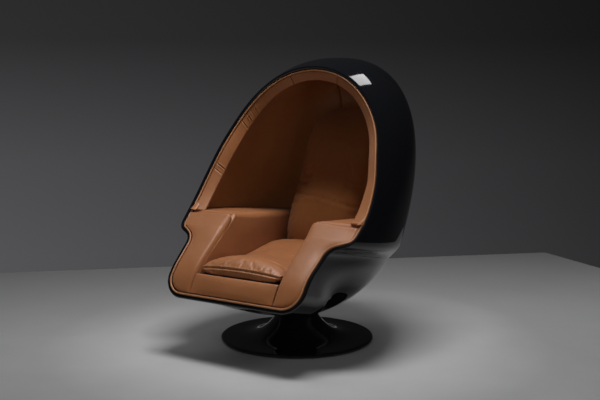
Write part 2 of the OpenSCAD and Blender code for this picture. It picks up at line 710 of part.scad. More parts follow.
module back_block() {
    half = back_half_width - 2 * pad_gap;
    low = deck_top_z + pad_gap;
    ledge = platform_top - pad_gap;
    levels = concat([low, ledge], [for (i = [0 : block_rows])
        mix(ledge + pad_gap / 2, back_low_z + block_top_share * (back_top_z - back_low_z),
            i / block_rows)]);
    spots = [for (i = [0 : 8]) [for (j = [0 : len(levels) - 1]) [half * (i / 4 - 1), levels[j], j]]];
    front = [for (c = spots) [for (s = c)
        [s[0], s[2] < 2 ? back_foot_y + pad_gap : back_rear(s[0], s[1]) + pad_gap, s[1]]]];
    rear = [for (c = spots) [for (s = c) [s[0], liner_back(s[0], s[1]), s[1]]]];
    color("#d8cbb0") skin(rear, front);
}

// Pedestal

swivel_plate_z = shell_base_z - swivel_plate_h;
washer_h = swivel_plate_h / 3;
column_top_z = swivel_plate_z - washer_h;
bush_r = spindle_r + spindle_fit + bush_wall;
column_r = bush_r + column_wall;
plate_top_z = disc_edge_h - cover_wall - cover_fit;
bush_h = bush_r + spindle_fit;
ring_h = bush_wall;
lower_bush_z = plate_top_z + 3 * ring_h;
flange_r = 2 * column_r + column_wall;
cover_edge_r = disc_edge_h / 2;
cover_top_z = column_top_z - cover_wall / 2;
plate_r = swivel_rim_share * neck_r;
spreader_h = swivel_plate_h * 1.5;
spreader_r = bolt_circle_r + 4 * bolt_r;

module ring_of(outer, inner, h) {
    difference() {
        cylinder(h = h, r = outer, $fn = 96);
        translate([0, 0, -cut]) cylinder(h = h + 2 * cut, r = inner, $fn = 96);
    }
}
module at_circle(r) {
    for (a = [45 : 90 : 315]) rotate(a) translate([r, 0, 0]) children();
}

module felt_pad() {
    color("#2b2b2d") cylinder(h = felt_h, r = disc_r - 2 * cover_edge_r, $fn = 128);
}

module base_plate() {
    color("#5a5c60") translate([0, 0, felt_h]) difference() {
        union() {
            cylinder(h = disc_edge_h - cover_edge_r - felt_h, r = disc_r - cover_wall - cover_fit,
                     $fn = 128);
            cylinder(h = plate_top_z - felt_h, r = disc_r - cover_edge_r - cover_wall, $fn = 128);
        }
        at_circle(flange_r - 3 * bolt_r) translate([0, 0, -cut])
            cylinder(h = plate_top_z + 2 * cut, r = bolt_r + press_fit, $fn = 32);
    }
}

// The cover flares from the neck to the disc and turns down round the plate
function flare_z(r) = disc_edge_h + (cover_top_z - disc_edge_h)
    * pow(max(0, (disc_r - cover_edge_r - r) / (disc_r - cover_edge_r - neck_r)), flare_share);
flare_line = [for (i = [0 : flare_steps]) let (r = mix(neck_r, disc_r - cover_edge_r,
    pow(i / flare_steps, flare_bias_share))) [r, flare_z(r)]];
edge_line = [for (a = [75 : -15 : 0])
    [disc_r - cover_edge_r, disc_edge_h - cover_edge_r] + cover_edge_r * [cos(a), sin(a)]];
cover_line = concat(flare_line, edge_line, [[disc_r, felt_h + cover_fit]]);
function line_normal(line, i) =
    let (d = line[min(i + 1, len(line) - 1)] - line[max(i - 1, 0)]) unit([d[1], -d[0]]);

module base_cover() {
    inner = [for (i = [len(cover_line) - 1 : -1 : 0])
        cover_line[i] + cover_wall * line_normal(cover_line, i)];
    hole = column_r + cover_fit;
    color("#101012") rotate_extrude($fn = 128) polygon(concat(
        [[hole, cover_top_z]], cover_line, inner,
        [[inner[len(inner) - 1][0], cover_top_z - cover_wall], [hole, cover_top_z - cover_wall]]));
}

module column() {
    color("#8a8d92") translate([0, 0, plate_top_z]) difference() {
        union() {
            ring_of(column_r, bush_r, column_top_z - plate_top_z);
            ring_of(flange_r, bush_r, column_wall);
        }
        at_circle(flange_r - 3 * bolt_r) translate([0, 0, -cut])
            cylinder(h = column_wall + 2 * cut, r = bolt_r + bolt_fit, $fn = 32);
    }
}

module bolt(shank_h) {
    translate([0, 0, -shank_h]) cylinder(h = shank_h, r = bolt_r, $fn = 32);
    cylinder(h = bolt_r, r = 1.7 * bolt_r, $fn = 6);
}

module column_bolts() {
    color("#8a8d92") at_circle(flange_r - 3 * bolt_r)
        translate([0, 0, plate_top_z + column_wall]) bolt(column_wall + 2 * bolt_r);
}

module bush() {
    color("#b08d3c") ring_of(bush_r - press_fit, spindle_r + spindle_fit, bush_h);
}
module lower_bush() {
    translate([0, 0, lower_bush_z]) bush();
}
module upper_bush() {
    translate([0, 0, column_top_z - bush_h]) bush();
}
module thrust_washer() {
    color("#b08d3c") translate([0, 0, column_top_z])
        ring_of(column_r, spindle_r + spindle_fit, washer_h);
}

module spindle() {
    color("#8a8d92") rotate_extrude($fn = 96) polygon([
        [0, plate_top_z + ring_h], [spindle_r, plate_top_z + ring_h],
        [spindle_r, lower_bush_z - ring_h], [spindle_r - groove_h, lower_bush_z - ring_h],
        [spindle_r - groove_h, lower_bush_z - cover_fit], [spindle_r, lower_bush_z - cover_fit],
        [spindle_r, shell_base_z - cover_fit], [0, shell_base_z - cover_fit]]);
}
module retaining_ring() {
    color("#5a5c60") translate([0, 0, lower_bush_z - ring_h + press_fit])
        ring_of(bush_r - spindle_fit - cover_fit, spindle_r - groove_h + press_fit,
                ring_h - cover_fit - 2 * press_fit);
}

module swivel_plate() {
    color("#5a5c60") translate([0, 0, swivel_plate_z]) difference() {
        ring_of(plate_r, spindle_r + press_fit, swivel_plate_h);
        at_circle(bolt_circle_r) translate([0, 0, -cut])
            cylinder(h = swivel_plate_h + 2 * cut, r = bolt_r + press_fit, $fn = 32);
    }
}
spreader_z = shell_base_z + boss_h + cover_fit;
module load_spreader() {
    color("#c9a36b") translate([0, 0, spreader_z]) difference() {
        cylinder(h = spreader_h, r = spreader_r, $fn = 96);
        at_circle(bolt_circle_r) translate([0, 0, -cut])
            cylinder(h = spreader_h + 2 * cut, r = bolt_r + bolt_fit, $fn = 32);
    }
}
module shell_bolts() {
    color("#8a8d92") at_circle(bolt_circle_r) translate([0, 0, spreader_z + spreader_h])
        bolt(spreader_z + spreader_h - swivel_plate_z - press_fit);
}

felt_pad();
base_plate();
base_cover();
column();
column_bolts();
lower_bush();
upper_bush();
thrust_washer();
spindle();
retaining_ring();
swivel_plate();
shell_bolts();
load_spreader();
lower_shell();
upper_shell();
welt();
deck_battens();
seat_deck();
seat_platform();
apron();
seat_cushion();
back_block();
back_cushion();
arm_left();
arm_right();
arm_front_left();
arm_front_right();
band_left();
band_top();
band_right();
side_liner_left();
side_liner_right();
roof_liner();
back_liner();
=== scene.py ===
# %% [markdown]
# A pod chair is an egg of glossy moulded shell with an opening cut into its front, padded with
# tan leather inside and standing on a round trumpet foot. This lesson builds the looks of one
# around its construction model. The model comes in as a fixed frame, in metres, and every
# piece made here goes where the frame says.
# %% Load the frame
import json
import math
import bmesh
import bpy
import numpy as np
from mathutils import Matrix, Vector, noise
from mathutils.kdtree import KDTree

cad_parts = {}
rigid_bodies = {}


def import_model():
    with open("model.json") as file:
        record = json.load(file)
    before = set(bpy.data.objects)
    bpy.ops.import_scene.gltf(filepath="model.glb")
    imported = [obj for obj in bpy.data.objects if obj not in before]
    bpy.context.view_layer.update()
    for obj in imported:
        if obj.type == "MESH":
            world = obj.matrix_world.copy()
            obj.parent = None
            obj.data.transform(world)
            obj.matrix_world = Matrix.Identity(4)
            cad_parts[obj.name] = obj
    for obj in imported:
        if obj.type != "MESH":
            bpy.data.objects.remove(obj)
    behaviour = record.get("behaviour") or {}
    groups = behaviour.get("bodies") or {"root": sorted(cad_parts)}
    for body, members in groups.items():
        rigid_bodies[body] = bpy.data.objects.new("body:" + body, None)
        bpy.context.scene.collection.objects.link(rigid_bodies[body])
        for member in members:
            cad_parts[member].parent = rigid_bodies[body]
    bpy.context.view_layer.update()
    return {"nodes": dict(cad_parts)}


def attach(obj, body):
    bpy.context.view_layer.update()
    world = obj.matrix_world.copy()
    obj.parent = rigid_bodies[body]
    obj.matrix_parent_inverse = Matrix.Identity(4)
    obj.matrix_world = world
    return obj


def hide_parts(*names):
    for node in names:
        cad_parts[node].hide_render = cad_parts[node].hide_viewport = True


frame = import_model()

# %% [markdown]
# The photograph was taken from the front right, a little above the seat, with a normal lens.
# The camera comes first, because it decides what the reader will compare. Its place is given
# as a distance, a height and a bearing round the chair.
# %% Camera
camera_lens, camera_sensor = 57.161, 36.0
camera_distance, camera_height = 4.286828, 1.182994
camera_bearing, camera_yaw, camera_pitch = 0.5934121, -0.00318183, 0.1258366
camera_data = bpy.data.cameras.new("camera")
camera_data.lens, camera_data.sensor_width = camera_lens, camera_sensor
camera = bpy.data.objects.new("camera", camera_data)
bpy.context.scene.collection.objects.link(camera)
camera.location = (camera_distance * math.sin(camera_bearing),
                   -camera_distance * math.cos(camera_bearing), camera_height)
camera.rotation_euler = (math.pi / 2 - camera_pitch, 0, camera_bearing + camera_yaw)
bpy.context.scene.camera = camera
print("camera stands", round(camera_distance, 2), "m away")

# %% [markdown]
# The shell has no flat face, so it could be sculpted or fitted with curves. A designer would
# rather write it down: an egg with a leaning axis, a bowl, and a jaw that carries the lap, all
# joined by soft minimum and maximum functions. Below zero is inside, above zero is outside.
# %% The form of the shell, in metres
pod_height, egg_half_width, egg_half_depth = 1.286, 0.511, 0.521
egg_widest_z, egg_base_y, egg_lean = 0.434, -0.111, 0.463
egg_power, lean_bend, egg_scale = 2.33, 0.219, 0.9
crease_z, notch_y, crease_tilt = 0.496, -0.290, 11
crease_edge_r, crease_fillet_r = 0.058, 0.050
bowl_half_width, bowl_half_depth, bowl_y = 0.425, 0.464, -0.030
bowl_wide_z, bowl_low_z, bowl_power, bowl_scale = 0.421, 0.111, 1.62, 0.85
jaw_half_width, jaw_corner_r, jaw_lip_z, jaw_lip_y = 0.360, 0.100, 0.254, -0.520
jaw_rise, jaw_end_y, jaw_fade_r, jaw_blend_r = 0.312, -0.219, 0.172, 0.084
shell_base_z, base_blend_r, shell_wall = 0.132, 0.012, 0.010
egg_rise = pod_height - egg_widest_z
crease_slope = math.tan(math.radians(crease_tilt))
core = np.array([0, 0, crease_z + crease_edge_r])
small_step = 0.001


def mix(a, b, t):
    return a + (b - a) * t


def soft_min(a, b, r):
    h = np.clip(0.5 + 0.5 * (b - a) / r, 0, 1)
    return b * (1 - h) + a * h - r * h * (1 - h)


def soft_max(a, b, r):
    return -soft_min(-a, -b, r)


def egg_gap(p):
    rise = (p[..., 2] - egg_widest_z) / egg_rise
    middle = egg_base_y + egg_lean * rise * (1 + lean_bend * (1 - rise))
    w = np.maximum(0, rise)
    r = np.hypot(p[..., 0] / egg_half_width, (p[..., 1] - middle) / egg_half_depth)
    return ((w**egg_power + r**egg_power) ** (1 / egg_power) - 1) * egg_half_width * egg_scale


def bowl_gap(p):
    w = np.maximum(0, (bowl_wide_z - p[..., 2]) / (bowl_wide_z - bowl_low_z))
    r = np.hypot(p[..., 0] / bowl_half_width, (p[..., 1] - bowl_y) / bowl_half_depth)
    return ((w**bowl_power + r**bowl_power) ** (1 / bowl_power) - 1) * bowl_half_width * bowl_scale


def jaw_gap(p):
    dx = np.abs(p[..., 0]) - jaw_half_width
    dz = (jaw_lip_z - jaw_rise * (p[..., 1] - jaw_lip_y) - p[..., 2]) / math.hypot(1, jaw_rise)
    corner = np.hypot(np.maximum(dx + jaw_corner_r, 0), np.maximum(dz + jaw_corner_r, 0))
    box = np.minimum(np.maximum(dx, dz) + jaw_corner_r, 0) + corner - jaw_corner_r
    return soft_max(box, p[..., 1] - jaw_end_y, jaw_fade_r)


def above_crease(p):
    return p[..., 2] + crease_slope * (p[..., 1] - notch_y) - crease_z


def pod_gap(p):
    upper = soft_max(egg_gap(p), -above_crease(p), crease_edge_r)
    bowl = soft_min(bowl_gap(p), jaw_gap(p), jaw_blend_r)
    lower = np.maximum(bowl, above_crease(p) - crease_edge_r)
    return soft_max(soft_min(upper, lower, crease_fillet_r), shell_base_z - p[..., 2], base_blend_r)


def unit(v):
    return v / np.maximum(np.linalg.norm(v, axis=-1, keepdims=True), 1e-12)


def pod_normal(p):
    steps = small_step * np.eye(3)
    return unit(np.stack([pod_gap(p + a) - pod_gap(p - a) for a in steps], -1))


print("gap at the core:", round(float(pod_gap(core)), 3), "m")

# %% [markdown]
# A point on the shell is found by walking out from inside until the gap turns positive. Halving
# the step does it for thousands of rays at once. The opening is a surface ruled straight
# across, so seen from the side it is one line, which eight equal steps of height describe.
# %% Rays and the opening
opening_top_z, opening_depth = 1.232, 0.646
opening_side = np.array([0, 0.118, 0.334, 0.536, 0.669, 0.769, 0.873, 0.944, 1])
opening_mid_z = crease_z + 2 * crease_edge_r
halvings = 32


def crossing(gap, shape, far=pod_height):
    """How far out each ray meets a surface, by halving the way to it."""
    near, far = np.zeros(shape), np.full(shape, far)
    for _ in range(halvings):
        middle = (near + far) / 2
        inside = gap(middle) < 0
        near, far = np.where(inside, middle, near), np.where(inside, far, middle)
    return near


def on_shell(direction):
    r = crossing(lambda r: pod_gap(core + direction * r[..., None]), direction.shape[:-1])
    return core + direction * r[..., None]


def curve(shares, t):
    """A smooth line through equally spaced shares."""
    s = np.concatenate([[2 * shares[0] - shares[1]], shares, [2 * shares[-1] - shares[-2]]])
    x = np.asarray(t, float) * (len(shares) - 1)
    i = np.clip(np.floor(x).astype(int), 0, len(shares) - 2)
    u = x - i
    a, b, c, d = s[i], s[i + 1], s[i + 2], s[i + 3]
    return b + u * ((c - a) + u * ((2 * a - 5 * b + 4 * c - d) + u * (3 * b - a - 3 * c + d))) / 2


def opening_y(z):
    return jaw_lip_y + opening_depth * curve(opening_side, (z - jaw_lip_z) / (opening_top_z - jaw_lip_z))


def on_opening_ray(angle, r):
    z = opening_mid_z + r * np.cos(np.radians(angle))
    return np.stack([r * np.sin(np.radians(angle)), opening_y(z), z], -1)


def edge_point(angle):
    angle = np.asarray(angle, float)
    return on_opening_ray(angle, crossing(lambda r: pod_gap(on_opening_ray(angle, r)), angle.shape))


print("top of the opening's edge:", edge_point(0.0).round(3))

# %% [markdown]
# Everything along the opening is placed from its edge, by a length inwards along the shell's
# normal and a length back from the way out. Lines over the shell are either levels, where a
# plane meets it, or meridians, which run from one point to another as on a globe.
# %% The edge, levels and meridians
joint_z, joint_gap, edge_step = crease_z - 0.020, 0.0003, 0.5


def edge_frame(angle):
    """A point of the edge, the shell's normal there and the way forward out of the opening."""
    angle = np.asarray(angle, float)
    p = edge_point(angle)
    n = pod_normal(p)
    along = unit(edge_point(angle + edge_step) - edge_point(angle - edge_step))
    return p, n, unit(np.cross(along, n))


def edge_place(angle, inset, back=0.0):
    p, n, forward = edge_frame(angle)
    return p - inset * n - back * forward


def turning_point(before, low, high):
    """The angle at which a question about the edge turns from yes to no."""
    for _ in range(halvings):
        middle = (low + high) / 2
        low, high = (middle, high) if before(edge_point(middle)) else (low, middle)
    return low


def edge_meets(z, y, slope):
    """The angle at which the edge passes a sloping plane."""
    return turning_point(lambda p: p[2] + slope * (p[1] - y) > z, 0.0, 180.0)


def level_point(z, y, slope, azimuth):
    """Where a sloping plane meets the shell, for columns of azimuths."""
    azimuth = np.radians(azimuth)
    way = np.stack([np.cos(azimuth), np.sin(azimuth)], -1)

    def place(r):
        q = way * r[..., None]
        return np.concatenate([q, (z - slope * (q[..., 1] - y))[..., None]], -1)

    return place(crossing(lambda r: pod_gap(place(r)), azimuth.shape))


def closing(t):
    """Shares that stand closer together towards the end."""
    return 1 - (1 - t) ** 1.5


def meridian(a, b, t):
    """Points on the shell from a to b, for columns of ends and shares t of the way."""
    da, db = unit(a - core), unit(b - core)
    w = np.maximum(np.arccos(np.clip((da * db).sum(-1, keepdims=True), -1, 1)), 1e-6)
    t = t[..., None]
    return on_shell(unit((np.sin((1 - t) * w) * da + np.sin(t * w) * db) / np.sin(w)))


joint_angle = edge_meets(joint_z, notch_y, crease_slope)
print("the shell's joint meets the opening at", round(joint_angle, 2), "degrees")

# %% [markdown]
# Meshes of points and faces go through one helper, which merges what coincides at poles and
# seams, turns the faces outwards and shades them smooth. A second helper gives the faces of
# rings that follow one another, and a third hands a finished piece to its body.
# %% Mesh helpers
panel_fill, seat_fill, back_fill = 0.95, 0.75, 0.7


def add_object(name, data):
    piece = bpy.data.objects.new(name, data)
    bpy.context.scene.collection.objects.link(piece)
    return piece


def new_object(name, points, faces, material, merge=2e-5):
    mesh = bpy.data.meshes.new(name)
    mesh.from_pydata([tuple(p) for p in np.asarray(points).reshape(-1, 3)], [], faces)
    work = bmesh.new()
    work.from_mesh(mesh)
    bmesh.ops.remove_doubles(work, verts=work.verts, dist=merge)
    bmesh.ops.dissolve_degenerate(work, edges=work.edges, dist=merge / 2)
    bmesh.ops.recalc_face_normals(work, faces=work.faces)
    work.to_mesh(mesh)
    work.free()
    mesh.polygons.foreach_set("use_smooth", [True] * len(mesh.polygons))
    mesh.materials.append(material)
    return add_object(name, mesh)


def ring_faces(columns, ring):
    """Faces of a tube whose closed rings follow one another, with both ends capped."""
    at = lambda i, j: i * ring + j % ring
    sides = [(at(i, j), at(i + 1, j), at(i + 1, j + 1), at(i, j + 1))
             for i in range(columns - 1) for j in range(ring)]
    return sides + [tuple(range(ring)), tuple(at(columns - 1, j) for j in reversed(range(ring)))]


def settle(piece, body, slot, *nodes, fill=panel_fill):
    """Gives a finished piece its body, and says which CAD nodes it stands for. The slot is not used."""
    if nodes:
        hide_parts(*nodes)
    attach(piece, body)
    return piece


print("mesh helpers ready")

# %% [markdown]
# Finishes are written as node trees, and so are the studio's backdrop and all that Geometry
# Nodes grow. Wiring nodes by hand is slow to read, so one small class wraps a socket and lets
# plus, minus and times add Math nodes, and one method makes any other node.
# %% Sockets as numbers


class Signal:
    """A socket that can be used in a sum."""

    def __init__(self, tree, socket):
        self.tree, self.socket = tree, socket

    def math(self, kind, a, b=0.0):
        return self.tree.add("ShaderNodeMath", {"operation": kind}, {0: a, 1: b})[0]

    def __add__(self, other):
        return self.math("ADD", self, other)

    def __mul__(self, other):
        return self.math("MULTIPLY", self, other)

    def __sub__(self, other):
        return self.math("SUBTRACT", self, other)

    def __rsub__(self, other):
        return self.math("SUBTRACT", other, self)

    def __truediv__(self, other):
        return self.math("DIVIDE", self, other)

    def __mod__(self, other):
        return self.math("MODULO", self, other)

    def whole(self):
        return self.math("FLOOR", self)

    __radd__, __rmul__ = __add__, __mul__


class Tree:
    """A node tree, whose nodes all come from one method."""

    def __init__(self, tree):
        self.tree = tree

    def set(self, node, key, value):
        socket = node.inputs[key]
        if isinstance(value, Signal):
            self.tree.links.new(value.socket, socket)
        else:
            socket.default_value = value

    def add(self, kind, settings=None, inputs=None):
        node = self.tree.nodes.new(kind)
        for key, value in (settings or {}).items():
            if key == "stops":
                ramp = node.color_ramp.elements
                while len(ramp) < len(value):
                    ramp.new(0.5)
                for stop, (place, colour) in zip(ramp, value):
                    stop.position, stop.color = place, (*colour, 1)
            else:
                setattr(node, key, value)
        for key, value in (inputs or {}).items():
            self.set(node, key, value)
        return [Signal(self, s) for s in node.outputs]

    def ramp(self, value, stops):
        return self.add("ShaderNodeValToRGB", {"stops": stops}, {0: value})[0]

    def along(self, vector, way):
        return self.add("ShaderNodeVectorMath", {"operation": "DOT_PRODUCT"}, {0: vector, 1: way})[1]


print("nodes can be written as sums")

# %% [markdown]
# A material is a tree round one Principled shader. Its patterns come from noise in the piece's
# own coordinates, and what changes over a surface feeds only the colour, the roughness and the
# bump, because the form is in the mesh.
# %% Materials as trees


class Paint(Tree):
    """One material: a Principled shader and what feeds it."""

    def __init__(self, name, **fixed):
        self.material = bpy.data.materials.new(name)
        self.material.use_nodes = True
        super().__init__(self.material.node_tree)
        self.feed(**fixed)

    def place(self, scale=(1, 1, 1)):
        spot = self.add("ShaderNodeTexCoord")[3]
        return self.add("ShaderNodeMapping", {}, {"Vector": spot, "Scale": scale})[0]

    def cloud(self, scale, detail=3.0, rough=0.5, stretch=(1, 1, 1)):
        return self.add("ShaderNodeTexNoise", {}, {
            "Vector": self.place(stretch), "Scale": scale, "Detail": detail, "Roughness": rough})[0]

    def clamp(self, value):
        return self.add("ShaderNodeClamp", {}, {0: value})[0]

    def mask(self, value, low, high):
        return self.ramp(value, [(low, (0, 0, 0)), (high, (1, 1, 1))])

    def blend(self, share, a, b, kind="MIX"):
        return self.add("ShaderNodeMix", {"data_type": "RGBA", "blend_type": kind},
                        {0: share, 6: a, 7: b})[2]

    def bump(self, height, strength, distance, under=None):
        inputs = {"Height": height, "Strength": strength, "Distance": distance}
        if under:
            inputs["Normal"] = under
        return self.add("ShaderNodeBump", {}, inputs)[0]

    def feed(self, **signals):
        for socket, value in signals.items():
            self.set(self.tree.nodes["Principled BSDF"], socket.replace("_", " "), value)
        return self.material


print("material helper ready")

# %% [markdown]
# The leather is aniline-dyed hide: a fine pebbled grain one to two millimetres across, a tan
# that drifts a little from place to place, and a soft sheen that wear has polished here and there.
# Voronoi cells give the pebbles, with painted shade darkening the valleys between them,
# and two clouds give the drift.
# %% Leather
tan_light, tan_dark, tan_worn = (0.355, 0.132, 0.043), (0.285, 0.098, 0.028), (0.41, 0.168, 0.066)
piping_light, piping_dark, piping_worn = (0.42, 0.185, 0.078), (0.36, 0.145, 0.055), (0.46, 0.22, 0.10)
thread_light, thread_dark, thread_worn = (0.30, 0.13, 0.05), (0.22, 0.09, 0.03), (0.36, 0.17, 0.08)
drift_scale, worn_scale, fold_scale, grain_scale, pore_scale = 3.5, 38, 55, 620, 1500
grain_bump, fold_bump = (0.22, 0.0004), (0.16, 0.0012)


def leather_paint(name, light, dark, worn, gloss):
    paint = Paint(name, Specular_IOR_Level=0.45, Sheen_Weight=0.10, Sheen_Roughness=0.5)
    drift = paint.cloud(drift_scale, 4, 0.55)
    fine = paint.cloud(worn_scale, 5, 0.6)
    cells = paint.add("ShaderNodeTexVoronoi", {"feature": "DISTANCE_TO_EDGE"}, {
        "Vector": paint.place(), "Scale": grain_scale, "Randomness": 0.95})[0]
    pores = paint.cloud(pore_scale, 2, 0.5)
    hide = paint.ramp(drift, [(0.32, dark), (0.68, light)])
    hide = paint.blend(paint.mask(fine, 0.45, 0.8) * 0.22, hide, (*worn, 1))
    pebble = paint.mask(cells, 0.0, 0.16)
    # Painted shade: the colour is a tenth darker in the valleys between the pebbles.
    hide = paint.blend(0.10, hide, pebble, "MULTIPLY")
    grain = paint.bump(pebble * 0.8 + pores * 0.35, *grain_bump)
    folds = paint.bump(paint.cloud(fold_scale, 4, 0.55), *fold_bump, grain)
    return paint.feed(Base_Color=hide, Roughness=gloss + 0.10 * fine - 0.05 * pebble, Normal=folds)


leather = leather_paint("tan_leather", tan_light, tan_dark, tan_worn, 0.43)
piping_leather = leather_paint("piping_leather", piping_light, piping_dark, piping_worn, 0.38)
thread = leather_paint("waxed_thread", thread_light, thread_dark, thread_worn, 0.5)
print("leather grain", round(1000 / grain_scale, 2), "mm")

# %% [markdown]
# The shell is black gelcoat polished to a mirror. A perfect mirror looks like a drawing, so it
# carries three faults of the real one: a faint orange peel in the gloss, hairline rubbing marks
# that only change the roughness, and a little dust that settles where faces look upwards.
# %% Gloss shell and lacquer
gelcoat_black, lacquer_black = (0.0052, 0.0055, 0.0068), (0.0062, 0.0064, 0.0075)
dust_grey = (0.20, 0.20, 0.21)
rub_stretch, speck_scale, peel_scale, peel_bump = (1, 1, 7), 420, 130, (0.035, 0.0006)


def gloss_paint(name, colour, rough, dust):
    paint = Paint(name, Specular_IOR_Level=0.5, Coat_Roughness=0.03, Coat_Weight=0.25)
    wide = paint.cloud(9, 3, 0.5)
    rubs = paint.cloud(16, 6, 0.7, rub_stretch)
    specks = paint.mask(paint.cloud(speck_scale, 2, 0.5), 0.66, 0.80)
    normal = paint.add("ShaderNodeNewGeometry")[1]
    upward = paint.add("ShaderNodeSeparateXYZ", {}, {0: normal})[2]
    settled = paint.clamp(upward) * specks * dust
    tint = paint.blend(settled, (*colour, 1), (*dust_grey, 1))
    peel = paint.bump(paint.cloud(peel_scale, 2, 0.4), *peel_bump)
    return paint.feed(Base_Color=tint, Roughness=rough + 0.05 * rubs * wide + 0.35 * settled, Normal=peel)


shell_gloss = gloss_paint("shell_gloss", gelcoat_black, 0.045, 0.22)
pedestal_lacquer = gloss_paint("pedestal_lacquer", lacquer_black, 0.06, 0.30)
print("gloss finishes:", shell_gloss.name, pedestal_lacquer.name)

# %% [markdown]
# The pieces that the leather hides are finished too, because the model comes apart: turned and
# raw steel, bronze bushes, birch plywood with its plies, open-celled foam and pressed felt.
# %% Finishes inside
birch_dark, birch_light, glue_line = (0.46, 0.30, 0.155), (0.62, 0.44, 0.25), (0.55, 0.5, 0.45)
along_grain, ply_scale, turning_stretch, stain_share = (1, 9, 30), 210.0, (1, 1, 14), 0.72


def metal_paint(name, colour, rough, stretch=(1, 1, 1)):
    paint = Paint(name, Metallic=1.0)
    rings = paint.cloud(90, 3, 0.6, stretch)
    stain = paint.cloud(14, 4, 0.6)
    tint = paint.blend(paint.mask(stain, 0.4, 0.75) * 0.35,
                       (*colour, 1), (*[c * stain_share for c in colour], 1))
    scratch = paint.bump(rings, 0.12, 0.0003)
    return paint.feed(Base_Color=tint, Roughness=rough + 0.14 * rings, Normal=scratch)


def plywood_paint():
    paint = Paint("birch_plywood", Specular_IOR_Level=0.3)
    grain = paint.cloud(26, 6, 0.65, along_grain)
    plies = paint.add("ShaderNodeTexWave", {"bands_direction": "Z"}, {
        "Vector": paint.place(), "Scale": ply_scale, "Distortion": 0.25})[1]
    wood = paint.ramp(grain, [(0.3, birch_dark), (0.7, birch_light)])
    wood = paint.blend(0.22, wood, paint.ramp(plies, [(0.3, glue_line), (0.7, (1, 1, 1))]), "MULTIPLY")
    return paint.feed(Base_Color=wood, Roughness=0.55 + 0.2 * grain, Normal=paint.bump(grain, 0.15, 0.0006))


def cell_paint(name, light, dark, scale, rough):
    paint = Paint(name, Specular_IOR_Level=0.2)
    cells = paint.add("ShaderNodeTexVoronoi", {}, {"Vector": paint.place(), "Scale": scale})[0]
    cloud = paint.cloud(scale / 12, 5, 0.6)
    tint = paint.ramp(cloud, [(0.3, dark), (0.7, light)])
    return paint.feed(Base_Color=tint, Roughness=rough + 0.1 * cloud, Normal=paint.bump(cells, 0.5, 0.001))


turned_steel = metal_paint("turned_steel", (0.50, 0.51, 0.53), 0.24, turning_stretch)
raw_steel = metal_paint("raw_steel", (0.30, 0.31, 0.33), 0.42)
bronze = metal_paint("bronze", (0.52, 0.36, 0.15), 0.30, turning_stretch)
plywood = plywood_paint()
foam = cell_paint("foam", (0.060, 0.056, 0.052), (0.038, 0.035, 0.033), 700, 0.85)
felt = cell_paint("felt", (0.032, 0.032, 0.035), (0.018, 0.018, 0.020), 900, 0.9)
inner_finishes = {
    turned_steel: ["spindle", "column", "column_bolts", "shell_bolts"],
    raw_steel: ["base_plate", "swivel_plate", "retaining_ring"],
    bronze: ["lower_bush", "upper_bush", "thrust_washer"],
    plywood: ["load_spreader", "deck_battens", "seat_deck"],
    foam: ["seat_platform", "back_block"],
    felt: ["felt_pad"],
}
for finish, nodes in inner_finishes.items():
    for node in nodes:
        node_mesh = frame["nodes"][node].data
        node_mesh.materials.clear()
        node_mesh.materials.append(finish)
print("finished inside:", sum(len(n) for n in inner_finishes.values()), "nodes")

# %% [markdown]
# The shell's wall is a grid of meridians. Each runs from the joint at the waist to the edge of
# the opening, rounds it as a bead, and comes back along the inside. The rim is a little
# thicker than the wall. Cutting it from a thick block would also work, but a grid that follows
# the form keeps the reflections clean, and on a black gloss they are all that is seen.
# %% Shell
shell_columns, upper_rows, lower_rows, bead_steps = 110, 120, 110, 12
edge_back, rim_spare, rim_run = shell_wall / 2, 0.006, 0.012
rim_half = (shell_wall + rim_spare) / 2


def shell_half(first_angle, rows, z):
    """Rings of the wall from the middle of the chair to the notch on one side."""
    t = closing(np.linspace(0, 1, shell_columns))
    p, n, forward = edge_frame(mix(first_angle, joint_angle, t))
    end = edge_place(joint_angle, 0.0, edge_back)
    azimuth = mix(90.0, math.degrees(math.atan2(end[1], end[0])), t)
    top = on_shell(unit(p - edge_back * forward - core))
    foot = level_point(np.full(shell_columns, z), notch_y, crease_slope, azimuth)
    outer = meridian(top[:, None], foot[:, None], np.linspace(0, 1, rows)[None, :])
    run = np.cumsum(np.linalg.norm(np.diff(outer, axis=1, prepend=outer[:, :1]), axis=2), axis=1)
    wall = shell_wall + rim_spare * np.exp(-(run / rim_run) ** 2)
    inner = outer - wall[..., None] * pod_normal(outer)
    turn = np.linspace(0, math.pi, bead_steps + 1)[1:-1, None]
    middle = p - rim_half * n - edge_back * forward
    bead = (middle[:, None] + rim_half * n[:, None] * np.cos(turn)
            + edge_back * forward[:, None] * np.sin(turn))
    return np.concatenate([outer[:, ::-1], bead, inner], 1)


def make_shell(name, node, first_angle, rows, z):
    half = shell_half(first_angle, rows, z)
    rings = np.concatenate([(half * [-1, 1, 1])[:0:-1], half], 0)
    piece = new_object(name, rings, ring_faces(len(rings), rings.shape[1]), shell_gloss)
    settle(piece, "pod", "shell_gloss", node)
    print(name, len(piece.data.polygons), "faces")


make_shell("upper_shell_moulding", "upper_shell", 0.0, upper_rows, joint_z + joint_gap)
make_shell("lower_shell_moulding", "lower_shell", 180.0, lower_rows, joint_z)

# %% [markdown]
# What runs along the opening, repeats or turns is grown by Geometry Nodes: the tree is built
# in the script, its sizes are named inputs, and the result is turned into a plain mesh. Every
# tree here starts from a closed line of points.
# %% Geometry Nodes helpers


